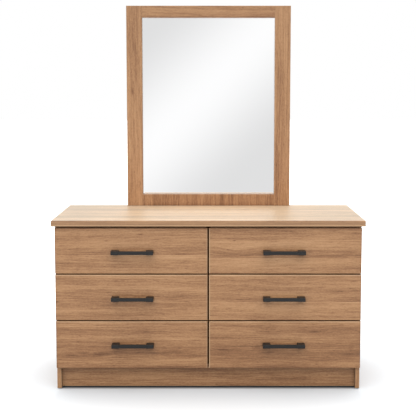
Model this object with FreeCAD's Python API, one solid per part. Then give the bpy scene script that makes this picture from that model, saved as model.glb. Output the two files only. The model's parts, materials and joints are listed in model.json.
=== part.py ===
import FreeCAD
import Part
import os

# A dresser of six drawers with a framed mirror standing on its top.
# Millimetres. +Z is up and the drawer fronts face -Y. The origin is on the floor, under the
# middle of the whole dresser, from the handles' fronts to the screw heads behind the battens.

Vector = FreeCAD.Vector

# Body
body_height = 643.0
carcass_width = 1138.0
board = 16.0
leg_height = 80.0
plinth_recess = 20.0
plinth_lift = 1.5
rail_width = 80.0
back_panel_thickness = 3.0
back_panel_inset = 2.0
back_panel_joint = 0.5
panel_edge_radius = 1.0

# Top panel
top_thickness = 22.0
top_depth = 450.0
top_side_overhang = 11.0
top_front_overhang = 10.0
top_edge_radius = 2.5

# Drawer fronts, with the share of the three fronts' height that the upper two rows take
front_thickness = 16.0
top_front_share = 0.3266
middle_front_share = 0.3305
front_gap = 4.0
front_centre_gap = 5.0
front_side_inset = 1.0
front_top_gap = 7.5
front_rise = 5.0
front_edge_radius = 2.0

# Drawer boxes
box_board = 12.0
box_rise = 18.0
box_drop = 27.0
box_back_clearance = 30.0
drawer_bottom_thickness = 3.0
drawer_bottom_rise = 10.0
groove_depth = 6.0
groove_clearance = 0.2

# Handles
handle_hole_spacing = 128.0
handle_drop = 88.0
handle_projection = 32.0
handle_foot_width = 28.0
handle_foot_height = 14.2
handle_foot_radius = 1.6
handle_bar_height = 13.0
handle_bar_depth = 9.0
handle_bar_recess = 1.0
handle_bar_radius = 1.2

# Runners, a channel on the body and a smaller channel inside it on the drawer
runner_space = 12.7
runner_height = 27.0
runner_gauge = 1.2
runner_corner_radius = 0.8
running_gap = 0.3
runner_rise = 12.0
runner_setback = 2.0
runner_end_gap = 25.0
cabinet_screw_shares = (0.08, 0.5, 0.92)
drawer_screw_shares = (0.14, 0.86)

# Mirror
mirror_width = 672.0
mirror_height = 821.0
mirror_frame_thickness = 22.0
mirror_edge_radius = 1.2
stile_width = 64.0
mirror_rail_width = 48.0
glass_thickness = 4.0
glass_lap = 8.0
glass_bevel = 14.0
glass_bevel_drop = 1.4
rebate_clearance = 0.5
backing_thickness = 5.0

# Battens that hold the mirror, and the clips behind its glass
batten_thickness = 18.0
batten_drop = 120.0
batten_rise = 560.0
batten_inset = 2.0
batten_edge_radius = 2.0
clip_width = 14.0
clip_thickness = 1.5
clip_seat = 11.0
clip_reach = 9.0
clip_gap = 2.0
stile_clip_shares = (0.12, 0.5, 0.88)
rail_clip_shares = (0.25, 0.75)
stile_screw_shares = (0.1, 0.5, 0.9)
rail_screw_shares = (0.25, 0.75)

# Wood screws, handle screws and glide nails
screw_radius = 1.75
screw_head_radius = 3.4
screw_head_height = 1.9
handle_screw_radius = 2.0
handle_screw_head_radius = 4.4
handle_screw_head_height = 2.2
handle_screw_bite = 10.0
glide_radius = 7.0
glide_thickness = 2.0
glide_nail_radius = 1.2
glide_nail_length = 14.0
glide_inset = 40.0
hole_clearance = 0.1
tip_clearance = 0.5
head_round_share = 0.4
tip_share = 0.9
board_bite_share = 0.4
box_bite_share = 0.6
front_bite_share = 0.7
stile_bite_share = 0.65
front_screw_margin = 24.0
front_screw_inset = 70.0
top_screw_inset = 90.0
divider_screw_shares = (0.15, 0.5, 0.85)
divider_screw_bite = 24.0

# Cam locks, a bolt in the upright board and a turned disc in the board that it pulls
cam_radius = 7.5
cam_depth_share = 0.75
cam_setback = 24.0
cam_bolt_radius = 3.0
cam_clearance = 0.2
cam_inset = 45.0

# Bumpers behind the drawer fronts
bumper_radius = 4.0
bumper_thickness = 1.7
bumper_gap = 0.3
bumper_inset = 25.0

# How far a cutter runs past the board that it cuts
overrun = 1.0
place_tolerance = 0.001

# Places across the dresser
side_outer = carcass_width / 2
side_inner = side_outer - board
divider_face = board / 2
bay_middle = (side_inner + divider_face) / 2
box_outer = (side_inner - divider_face) / 2 - runner_space
box_inner = box_outer - box_board
front_outer = side_outer - front_side_inset
front_inner = front_centre_gap / 2
top_end = side_outer + top_side_overhang

# Places from front to back, centred between the handles' fronts and the battens' screw heads
depth_behind_top = batten_thickness + screw_head_height
handle_front = -(handle_projection - top_front_overhang + top_depth + depth_behind_top) / 2
front_face = handle_front + handle_projection
top_front = front_face - top_front_overhang
back = top_front + top_depth
front_back = front_face + front_thickness
carcass_front = front_back + bumper_thickness + bumper_gap
carcass_back = back - back_panel_thickness
rear_rail_front = carcass_back - board
box_back = rear_rail_front - box_back_clearance
runner_length = box_back - front_back - runner_end_gap
plinth_face = carcass_front + plinth_recess

# Places above the floor
top_underside = body_height - top_thickness
bottom_panel_top = leg_height + board
front_bottom = leg_height + front_rise
plinth_bottom = glide_thickness + plinth_lift

# Places on the mirror
mirror_front = back - mirror_frame_thickness
mirror_outer = mirror_width / 2
opening_side = mirror_outer - stile_width
mirror_top = body_height + mirror_height
opening_bottom = body_height + mirror_rail_width
opening_top = mirror_top - mirror_rail_width
rebate_front = back - backing_thickness - glass_thickness
rebate_width = glass_lap + rebate_clearance

# The wood screw's and the other fasteners' head radius, head height and shank radius
WOOD_SCREW = (screw_head_radius, screw_head_height, screw_radius)
HANDLE_SCREW = (handle_screw_head_radius, handle_screw_head_height, handle_screw_radius)
GLIDE_NAIL = (glide_radius, glide_thickness, glide_nail_radius)

FULL_TURN = 360
LEFT = -1
RIGHT = 1
SIDES = {"left": LEFT, "right": RIGHT}
UP = Vector(0, 0, 1)
DOWN = Vector(0, 0, -1)
FORWARD = Vector(0, -1, 0)
REARWARD = Vector(0, 1, 0)

# Solids of each node, and the cutters that drill them
pieces = {}
cutters = {}


def add(node, *solids):
    """Puts solids into a node."""
    pieces.setdefault(node, []).extend(solids)


def block(x_limits, y_limits, z_limits):
    """A rectangular board between two places along each axis, given in either order."""
    low_x, high_x = sorted(x_limits)
    low_y, high_y = sorted(y_limits)
    low_z, high_z = sorted(z_limits)
    corner = Vector(low_x, low_y, low_z)
    return Part.makeBox(high_x - low_x, high_y - low_y, high_z - low_z, corner)


def lies_on(edge, axis, place):
    """True where an edge lies in the plane at that place along the axis."""
    bounds = edge.BoundBox
    low = getattr(bounds, axis + "Min")
    high = getattr(bounds, axis + "Max")
    return abs(low - place) < place_tolerance and abs(high - place) < place_tolerance


def rounded(shape, radius, planes):
    """The shape with the edges that lie in any of the planes rounded."""
    edges = [edge for edge in shape.Edges if any(lies_on(edge, *plane) for plane in planes)]
    return shape.makeFillet(radius, edges)


def rounded_corner(shape, radius, planes):
    """The shape with the edges that lie in all of the planes rounded."""
    edges = [edge for edge in shape.Edges if all(lies_on(edge, *plane) for plane in planes)]
    return shape.makeFillet(radius, edges)


def rod(start, direction, length, radius):
    """A round rod from a point along a direction."""
    return Part.makeCylinder(radius, length, start, direction)


def turned_fastener(form, seat, direction, length):
    """A headed fastener: its head stands on the seat and its shank runs along the direction."""
    head_radius, head_height, shank_radius = form
    soft = head_height * head_round_share
    outline = [
        Vector(0, 0, -head_height),
        Vector(head_radius - soft, 0, -head_height),
        Vector(head_radius, 0, -head_height + soft),
        Vector(head_radius, 0, 0),
        Vector(shank_radius, 0, 0),
        Vector(shank_radius, 0, length * tip_share),
        Vector(0, 0, length),
        Vector(0, 0, -head_height),
    ]
    face = Part.Face(Part.makePolygon(outline))
    solid = face.revolve(Vector(0, 0, 0), UP, FULL_TURN)
    solid.Placement = FreeCAD.Placement(seat, FreeCAD.Rotation(UP, direction))
    return solid


def fasten(node, form, seat, direction, length, drilled):
    """Adds a fastener to a node and drills its hole through each node that it passes through."""
    add(node, turned_fastener(form, seat, direction, length))
    start = seat - direction * overrun
    depth = overrun + length + tip_clearance
    hole = rod(start, direction, depth, form[-1] + hole_clearance)
    for name in drilled:
        cutters.setdefault(name, []).append(hole)


def drill(solid, holes):
    """The solid less the holes that reach it."""
    near = [hole for hole in holes if hole.BoundBox.intersect(solid.BoundBox)]
    return solid.cut(near) if near else solid


def export_nodes():
    """Drills each node's solids and writes one file for each node."""
    os.makedirs("parts", exist_ok=True)
    for node, solids in pieces.items():
        holes = cutters.get(node, [])
        finished = [part for solid in solids for part in drill(solid, holes).Solids]
        Part.makeCompound(finished).exportStep("parts/" + node + ".step")


def make_top_panel():
    """The thick board that overhangs the body."""
    shape = block((-top_end, top_end), (top_front, back), (top_underside, body_height))
    planes = [("Y", top_front), ("X", -top_end), ("X", top_end)]
    add("top_panel", rounded(shape, top_edge_radius, planes))


def make_upright_panels():
    """The side panels, which stand on the glides, and the divider on the bottom panel."""
    depth = (carcass_front, carcass_back)
    for name, side in SIDES.items():
        x_limits = (side * side_outer, side * side_inner)
        shape = block(x_limits, depth, (glide_thickness, top_underside))
        shape = rounded(shape, panel_edge_radius, [("Y", carcass_front)])
        add("side_panel_" + name, shape)
    x_limits = (-divider_face, divider_face)
    add("centre_divider", block(x_limits, depth, (bottom_panel_top, top_underside)))


def make_level_boards():
    """The bottom panel, the two plinth boards, the rails under the top and the back panels."""
    between = (-side_inner, side_inner)
    depth = (carcass_front, carcass_back)
    add("bottom_panel", block(between, depth, (leg_height, bottom_panel_top)))

    height = (plinth_bottom, leg_height)
    front_plinth = block(between, (plinth_face, plinth_face + board), height)
    corner = [("Y", plinth_face), ("Z", plinth_bottom)]
    add("plinth_front", rounded_corner(front_plinth, panel_edge_radius, corner))
    add("plinth_rear", block(between, (rear_rail_front, carcass_back), height))

    for side in SIDES.values():
        bay = (side * divider_face, side * side_inner)
        flat = (top_underside - board, top_underside)
        upright = (top_underside - rail_width, top_underside)
        add("front_rails", block(bay, (carcass_front, carcass_front + rail_width), flat))
        add("rear_rails", block(bay, (rear_rail_front, carcass_back), upright))
        cover = (side * back_panel_joint / 2, side * (side_outer - back_panel_inset))
        add("back_panels", block(cover, (carcass_back, back), (leg_height, top_underside)))


def cam_lock(level, upright, end, away, seat, disc_direction):
    """A bolt and a disc that pull a level board's end against an upright board.

    The end's place and the way from it into the level board are along X. The seat is the bolt's
    place along Y and Z, at the middle of the level board's thickness. The disc goes in along
    its direction from the face of the level board.
    """
    centre = Vector(end, *seat)
    bite = board * board_bite_share
    start = centre - Vector(away, 0, 0) * bite
    inward = Vector(away, 0, 0)
    length = bite + cam_setback - cam_radius - cam_clearance
    add("cam_locks", rod(start, inward, length, cam_bolt_radius))
    hole_start = start - inward * tip_clearance
    hole_length = tip_clearance + bite + cam_setback
    hole = rod(hole_start, inward, hole_length, cam_bolt_radius + hole_clearance)

    mouth = centre + inward * cam_setback - disc_direction * board / 2
    depth = board * cam_depth_share
    add("cam_locks", rod(mouth, disc_direction, depth, cam_radius))
    pocket_start = mouth - disc_direction * overrun
    pocket = rod(pocket_start, disc_direction, overrun + depth, cam_radius + cam_clearance)
    cutters.setdefault(upright, []).append(hole)
    cutters.setdefault(level, []).extend([hole, pocket])


def make_cam_locks():
    """The locks at both ends of the bottom panel, the plinth boards and the rails."""
    level_middle = leg_height + board / 2
    plinth_middle = (plinth_bottom + leg_height) / 2
    rail_middle = top_underside - board / 2
    rear_rail_middle = top_underside - rail_width / 2
    rear_middle = carcass_back - board / 2
    front_rail_middle = carcass_front + rail_width / 2
    for name, side in SIDES.items():
        panel = "side_panel_" + name
        end = side * side_inner
        away = -side
        for place in (plinth_face + board + cam_inset, rear_rail_front - cam_inset):
            cam_lock("bottom_panel", panel, end, away, (place, level_middle), UP)
        cam_lock("plinth_front", panel, end, away, (plinth_face + board / 2, plinth_middle), FORWARD)
        cam_lock("plinth_rear", panel, end, away, (rear_middle, plinth_middle), REARWARD)
        cam_lock("front_rails", panel, end, away, (front_rail_middle, rail_middle), UP)
        cam_lock("rear_rails", panel, end, away, (rear_middle, rear_rail_middle), REARWARD)
        end = side * divider_face
        middle = "centre_divider"
        cam_lock("front_rails", middle, end, side, (front_rail_middle, rail_middle), UP)
        cam_lock("rear_rails", middle, end, side, (rear_middle, rear_rail_middle), REARWARD)


def make_cabinet_screws():
    """The screws that hold the top panel to the front rails and the divider to the bottom panel."""
    rail_underside = top_underside - board
    for side in SIDES.values():
        for place in (divider_face + top_screw_inset, side_inner - top_screw_inset):
            seat = Vector(side * place, carcass_front + rail_width / 2, rail_underside)
            length = board + top_thickness * front_bite_share
            fasten("cabinet_screws", WOOD_SCREW, seat, UP, length, ["front_rails", "top_panel"])
    for share in divider_screw_shares:
        place = carcass_front + share * (carcass_back - carcass_front)
        seat = Vector(0, place, leg_height)
        length = board + divider_screw_bite
        fasten("cabinet_screws", WOOD_SCREW, seat, UP, length, ["bottom_panel", "centre_divider"])


def make_floor_glides():
    """The nail-on glides that the side panels stand on."""
    for name, side in SIDES.items():
        for place in (carcass_front + glide_inset, carcass_back - glide_inset):
            seat = Vector(side * (side_outer - board / 2), place, glide_thickness)
            fasten("floor_glides", GLIDE_NAIL, seat, UP, glide_nail_length, ["side_panel_" + name])


def channel(wall, away, reach, height, y_limits, z_middle):
    """A C-section channel: its web lies on the wall and its flanges reach away from it along X."""
    z_limits = (z_middle - height / 2, z_middle + height / 2)
    shape = block((wall, wall + away * reach), y_limits, z_limits)
    hollow_z = (z_limits[0] + runner_gauge, z_limits[1] - runner_gauge)
    hollow_x = (wall + away * runner_gauge, wall + away * (reach + overrun))
    hollow_y = (y_limits[0] - overrun, y_limits[1] + overrun)
    for place in z_limits:
        shape = rounded_corner(shape, runner_corner_radius, [("X", wall), ("Z", place)])
    return shape.cut(block(hollow_x, hollow_y, hollow_z))


def make_runner_pair(drawer, upright, wall, away, box_bottom):
    """The body's channel on an upright board and the drawer's channel inside it."""
    z_middle = box_bottom + runner_rise + runner_height / 2
    inner_height = runner_height - 2 * (runner_gauge + running_gap)
    box_side = wall + away * runner_space

    start = carcass_front + runner_setback
    outer_reach = runner_space - running_gap
    outer = channel(wall, away, outer_reach, runner_height, (start, start + runner_length), z_middle)
    add("cabinet_runners", outer)
    for share in cabinet_screw_shares:
        seat = Vector(wall + away * runner_gauge, start + share * runner_length, z_middle)
        length = runner_gauge + board * board_bite_share
        holes = ["cabinet_runners", upright]
        fasten("cabinet_screws", WOOD_SCREW, seat, Vector(-away, 0, 0), length, holes)

    start = front_back + runner_setback
    inner_reach = runner_space - runner_gauge - running_gap
    inner = channel(box_side, -away, inner_reach, inner_height, (start, start + runner_length), z_middle)
    add(drawer + "_runners", inner)
    for share in drawer_screw_shares:
        seat = Vector(box_side - away * runner_gauge, start + share * runner_length, z_middle)
        length = runner_gauge + box_board * box_bite_share
        holes = [drawer + "_runners", drawer + "_box"]
        fasten(drawer + "_screws", WOOD_SCREW, seat, Vector(away, 0, 0), length, holes)


def make_drawer_front(drawer, side, z_limits):
    """The board that shows, with its front edges rounded."""
    x_limits = (side * front_inner, side * front_outer)
    shape = block(x_limits, (front_face, front_back), z_limits)
    add(drawer + "_front", rounded(shape, front_edge_radius, [("Y", front_face)]))


def make_drawer_box(drawer, side, z_limits):
    """Two sides, a back and an inner front, grooved for the thin bottom that they hold."""
    middle = side * bay_middle
    inner_x = (middle - box_inner, middle + box_inner)
    inner_y = (front_back + box_board, box_back - box_board)
    groove_bottom = z_limits[0] + drawer_bottom_rise
    groove_top = groove_bottom + drawer_bottom_thickness + groove_clearance
    groove_x = (inner_x[0] - groove_depth, inner_x[1] + groove_depth)
    groove_y = (inner_y[0] - groove_depth, inner_y[1] + groove_depth)
    groove = block(groove_x, groove_y, (groove_bottom, groove_top))
    boards = [
        block((middle - box_outer, inner_x[0]), (front_back, box_back), z_limits),
        block((middle + box_outer, inner_x[1]), (front_back, box_back), z_limits),
        block(inner_x, (front_back, inner_y[0]), z_limits),
        block(inner_x, (inner_y[1], box_back), z_limits),
    ]
    add(drawer + "_box", *[part.cut(groove) for part in boards])

    sheet_x = (groove_x[0] + groove_clearance, groove_x[1] - groove_clearance)
    sheet_y = (groove_y[0] + groove_clearance, groove_y[1] - groove_clearance)
    sheet_z = (groove_bottom, groove_bottom + drawer_bottom_thickness)
    add(drawer + "_bottom", block(sheet_x, sheet_y, sheet_z))


def make_handle(drawer, side, height):
    """A bar between two square feet, cast in one piece."""
    middle = side * bay_middle
    foot_z = (height - handle_foot_height / 2, height + handle_foot_height / 2)
    bar_z = (height - handle_bar_height / 2, height + handle_bar_height / 2)
    bar_front = handle_front + handle_bar_recess
    feet = []
    for foot_side in SIDES.values():
        foot_middle = middle + foot_side * handle_hole_spacing / 2
        foot_x = (foot_middle - handle_foot_width / 2, foot_middle + handle_foot_width / 2)
        foot = block(foot_x, (handle_front, front_face), foot_z)
        planes = [("Y", handle_front), ("X", foot_x[0]), ("X", foot_x[1])]
        feet.append(rounded(foot, handle_foot_radius, planes))
    bar_x = (middle - handle_hole_spacing / 2, middle + handle_hole_spacing / 2)
    bar = block(bar_x, (bar_front, bar_front + handle_bar_depth), bar_z)
    planes = [("Y", bar_front), ("Y", bar_front + handle_bar_depth)]
    bar = rounded(bar, handle_bar_radius, planes)
    add(drawer + "_handle", bar.fuse(feet).removeSplitter())


def make_drawer_screws(drawer, side, handle_height, z_limits):
    """The handle's two screws and the four that hold the front to the box."""
    middle = side * bay_middle
    inner_face = front_back + box_board
    boards = [drawer + "_box", drawer + "_front"]
    for screw_side in SIDES.values():
        seat = Vector(middle + screw_side * handle_hole_spacing / 2, inner_face, handle_height)
        length = box_board + front_thickness + handle_screw_bite
        holes = [*boards, drawer + "_handle"]
        fasten(drawer + "_screws", HANDLE_SCREW, seat, FORWARD, length, holes)
        for height in (z_limits[0] + front_screw_margin, z_limits[1] - front_screw_margin):
            place = middle + screw_side * (box_inner - front_screw_inset)
            seat = Vector(place, inner_face, height)
            length = box_board + front_thickness * front_bite_share
            fasten(drawer + "_screws", WOOD_SCREW, seat, FORWARD, length, boards)


def make_bumpers(side, z_limits):
    """Two soft bumpers on the side panel's front edge, which the drawer's front closes on."""
    place = side * (side_outer - board / 2)
    for height in (z_limits[0] + bumper_inset, z_limits[1] - bumper_inset):
        start = Vector(place, carcass_front, height)
        add("drawer_bumpers", rod(start, FORWARD, bumper_thickness, bumper_radius))


def drawer_rows():
    """Each row's name and its fronts' lower and upper edges, from the top row down."""
    upper = top_underside - front_top_gap
    fronts_height = upper - front_bottom - 2 * front_gap
    rows = []
    for name, share in (("top", top_front_share), ("middle", middle_front_share)):
        lower = upper - share * fronts_height
        rows.append((name, (lower, upper)))
        upper = lower - front_gap
    rows.append(("bottom", (front_bottom, upper)))
    return rows


def make_drawers():
    """Six drawers, in three rows and two columns."""
    for row, front_z in drawer_rows():
        box_z = (front_z[0] + box_rise, front_z[1] - box_drop)
        handle_height = front_z[1] - handle_drop
        for column, side in SIDES.items():
            drawer = row + "_" + column + "_drawer"
            make_drawer_front(drawer, side, front_z)
            make_drawer_box(drawer, side, box_z)
            make_handle(drawer, side, handle_height)
            make_drawer_screws(drawer, side, handle_height, box_z)
            panel = "side_panel_" + column
            make_runner_pair(drawer, panel, side * side_inner, -side, box_z[0])
            make_runner_pair(drawer, "centre_divider", side * divider_face, side, box_z[0])
            make_bumpers(side, front_z)


def make_mirror_frame():
    """Two stiles and two rails, rebated behind for the glass and its backing board."""
    depth = (mirror_front, back)
    rebate_x = (-opening_side - rebate_width, opening_side + rebate_width)
    rebate_z = (opening_bottom - rebate_width, opening_top + rebate_width)
    rebate = block(rebate_x, (rebate_front, back + overrun), rebate_z)
    front_plane = ("Y", mirror_front)
    for name, side in SIDES.items():
        x_limits = (side * opening_side, side * mirror_outer)
        stile = block(x_limits, depth, (body_height, mirror_top))
        stile = rounded(stile, mirror_edge_radius, [front_plane])
        add("mirror_stile_" + name, stile.cut(rebate))
    between = (-opening_side, opening_side)
    rails = {
        "mirror_rail_top": (opening_top, mirror_top),
        "mirror_rail_bottom": (body_height, opening_bottom),
    }
    for name, z_limits in rails.items():
        rail = block(between, depth, z_limits)
        for place in z_limits:
            rail = rounded_corner(rail, mirror_edge_radius, [front_plane, ("Z", place)])
        add(name, rail.cut(rebate))


def make_mirror_glass():
    """The bevelled glass against the frame's lip, and the board that backs it."""
    half = opening_side + glass_lap
    low = opening_bottom - glass_lap
    high = opening_top + glass_lap
    glass_back = rebate_front + glass_thickness
    shoulder = rebate_front + glass_bevel_drop
    body = block((-half, half), (shoulder, glass_back), (low, high))
    bevel = Part.makeWedge(
        -half + glass_bevel, rebate_front, low + glass_bevel,
        low, -half,
        half - glass_bevel, shoulder, high - glass_bevel,
        high, half,
    )
    add("mirror_glass", body.fuse(bevel).removeSplitter())
    add("mirror_backing", block((-half, half), (glass_back, back), (low, high)))


def make_battens():
    """The uprights that hold the mirror's stiles to the back of the body, with their screws."""
    outer = mirror_outer - batten_inset
    inner = opening_side + rebate_width + clip_seat + clip_gap
    z_limits = (body_height - batten_drop, body_height + batten_rise)
    rear = back + batten_thickness
    for name, side in SIDES.items():
        shape = block((side * inner, side * outer), (back, rear), z_limits)
        add("mirror_battens", rounded(shape, batten_edge_radius, [("Y", rear)]))
        middle = side * (inner + outer) / 2
        for share in stile_screw_shares:
            height = body_height + share * batten_rise
            seat = Vector(middle, rear, height)
            length = batten_thickness + mirror_frame_thickness * stile_bite_share
            holes = ["mirror_battens", "mirror_stile_" + name]
            fasten("mirror_screws", WOOD_SCREW, seat, FORWARD, length, holes)
        length = batten_thickness + back_panel_thickness + board * box_bite_share
        for share in rail_screw_shares:
            seat = Vector(middle, rear, top_underside - share * rail_width)
            holes = ["mirror_battens", "back_panels", "rear_rails"]
            fasten("mirror_screws", WOOD_SCREW, seat, FORWARD, length, holes)


def make_clip(frame_node, edge, outward):
    """A steel clip on the back of the frame that reaches over the backing board.

    The edge is the rebate's edge at the clip's middle, and the outward way is from the glass
    to the frame, along X or Z.
    """
    across = Vector(outward.z, 0, outward.x)
    corner_a = edge - outward * clip_reach - across * clip_width / 2
    corner_b = edge + outward * clip_seat + across * clip_width / 2
    limits = ((corner_a.x, corner_b.x), (back, back + clip_thickness), (corner_a.z, corner_b.z))
    add("mirror_clips", block(*limits))
    seat = edge + outward * clip_seat / 2
    seat.y = back + clip_thickness
    length = clip_thickness + mirror_frame_thickness * stile_bite_share
    fasten("mirror_screws", WOOD_SCREW, seat, FORWARD, length, ["mirror_clips", frame_node])


def make_clips():
    """The clips along the stiles and the rails."""
    rebate_x = opening_side + rebate_width
    rebate_bottom = opening_bottom - rebate_width
    rebate_top = opening_top + rebate_width
    for name, side in SIDES.items():
        for share in stile_clip_shares:
            height = opening_bottom + share * (opening_top - opening_bottom)
            edge = Vector(side * rebate_x, back, height)
            make_clip("mirror_stile_" + name, edge, Vector(side, 0, 0))
    for share in rail_clip_shares:
        place = -opening_side + share * 2 * opening_side
        make_clip("mirror_rail_top", Vector(place, back, rebate_top), UP)
        make_clip("mirror_rail_bottom", Vector(place, back, rebate_bottom), DOWN)


make_top_panel()
make_upright_panels()
make_level_boards()
make_cam_locks()
make_cabinet_screws()
make_floor_glides()
make_drawers()
make_mirror_frame()
make_mirror_glass()
make_battens()
make_clips()
export_nodes()
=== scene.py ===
"""Looks of a dresser with six drawers and a framed mirror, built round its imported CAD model.

Metres. +Z is up and the drawer fronts face -Y, as in the CAD model.
"""

import json
import logging
from collections.abc import Callable, Sequence
from dataclasses import dataclass, replace
from enum import Enum
from math import cos, pi, radians, sin
from typing import Any

import bmesh
import bpy
from mathutils import Euler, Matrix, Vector

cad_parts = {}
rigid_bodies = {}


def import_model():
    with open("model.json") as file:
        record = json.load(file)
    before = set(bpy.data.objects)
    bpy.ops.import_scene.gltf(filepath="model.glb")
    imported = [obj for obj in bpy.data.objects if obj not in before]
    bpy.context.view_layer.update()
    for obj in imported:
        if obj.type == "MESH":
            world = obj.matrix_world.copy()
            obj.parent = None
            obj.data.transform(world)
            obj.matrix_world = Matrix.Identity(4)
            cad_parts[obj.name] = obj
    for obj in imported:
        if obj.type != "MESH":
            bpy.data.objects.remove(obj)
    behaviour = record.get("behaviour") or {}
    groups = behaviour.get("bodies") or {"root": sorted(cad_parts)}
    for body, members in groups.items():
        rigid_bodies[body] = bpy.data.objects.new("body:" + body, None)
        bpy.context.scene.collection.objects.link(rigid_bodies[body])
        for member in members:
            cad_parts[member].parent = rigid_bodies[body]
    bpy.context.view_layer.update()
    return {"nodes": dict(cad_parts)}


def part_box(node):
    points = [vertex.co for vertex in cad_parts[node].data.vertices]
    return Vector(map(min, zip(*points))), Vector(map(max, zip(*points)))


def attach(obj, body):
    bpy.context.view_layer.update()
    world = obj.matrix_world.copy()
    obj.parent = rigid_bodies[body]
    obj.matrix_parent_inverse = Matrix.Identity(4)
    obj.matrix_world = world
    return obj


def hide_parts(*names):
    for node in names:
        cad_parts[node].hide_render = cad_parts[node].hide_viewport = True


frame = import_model()

log = logging.getLogger("dresser")

Pair = tuple[float, float]
Triple = tuple[float, float, float]
Stops = tuple[tuple[float, Triple], ...]
CABINET = "cabinet"
WELD_DISTANCE = 0.000002
RIM_SHARE = 0.97  # of a fastener's widest radius, and the rim lies beyond it
NECK_SHARE = 1.1  # of the head's height, and the shank lies below it
FACING_SHARE = 0.95  # of the way that a side faces
KIND_PLACES = 4  # tenths of a millimetre


class GrainWay(Enum):
    """Which way a board's grain runs, as the places of its along, across and depth axes."""

    LEVEL = (0, 2, 1)
    UPRIGHT = (2, 0, 1)
    UPRIGHT_ON_SIDE = (2, 1, 0)
    LEVEL_ON_TOP = (0, 1, 2)


class Side(Enum):
    """A side of a board, as the way that it faces."""

    FRONT = (0.0, -1.0, 0.0)
    REAR = (0.0, 1.0, 0.0)
    UNDER = (0.0, 0.0, -1.0)
    UPPER = (0.0, 0.0, 1.0)
    LEFT = (-1.0, 0.0, 0.0)
    RIGHT = (1.0, 0.0, 0.0)


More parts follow.
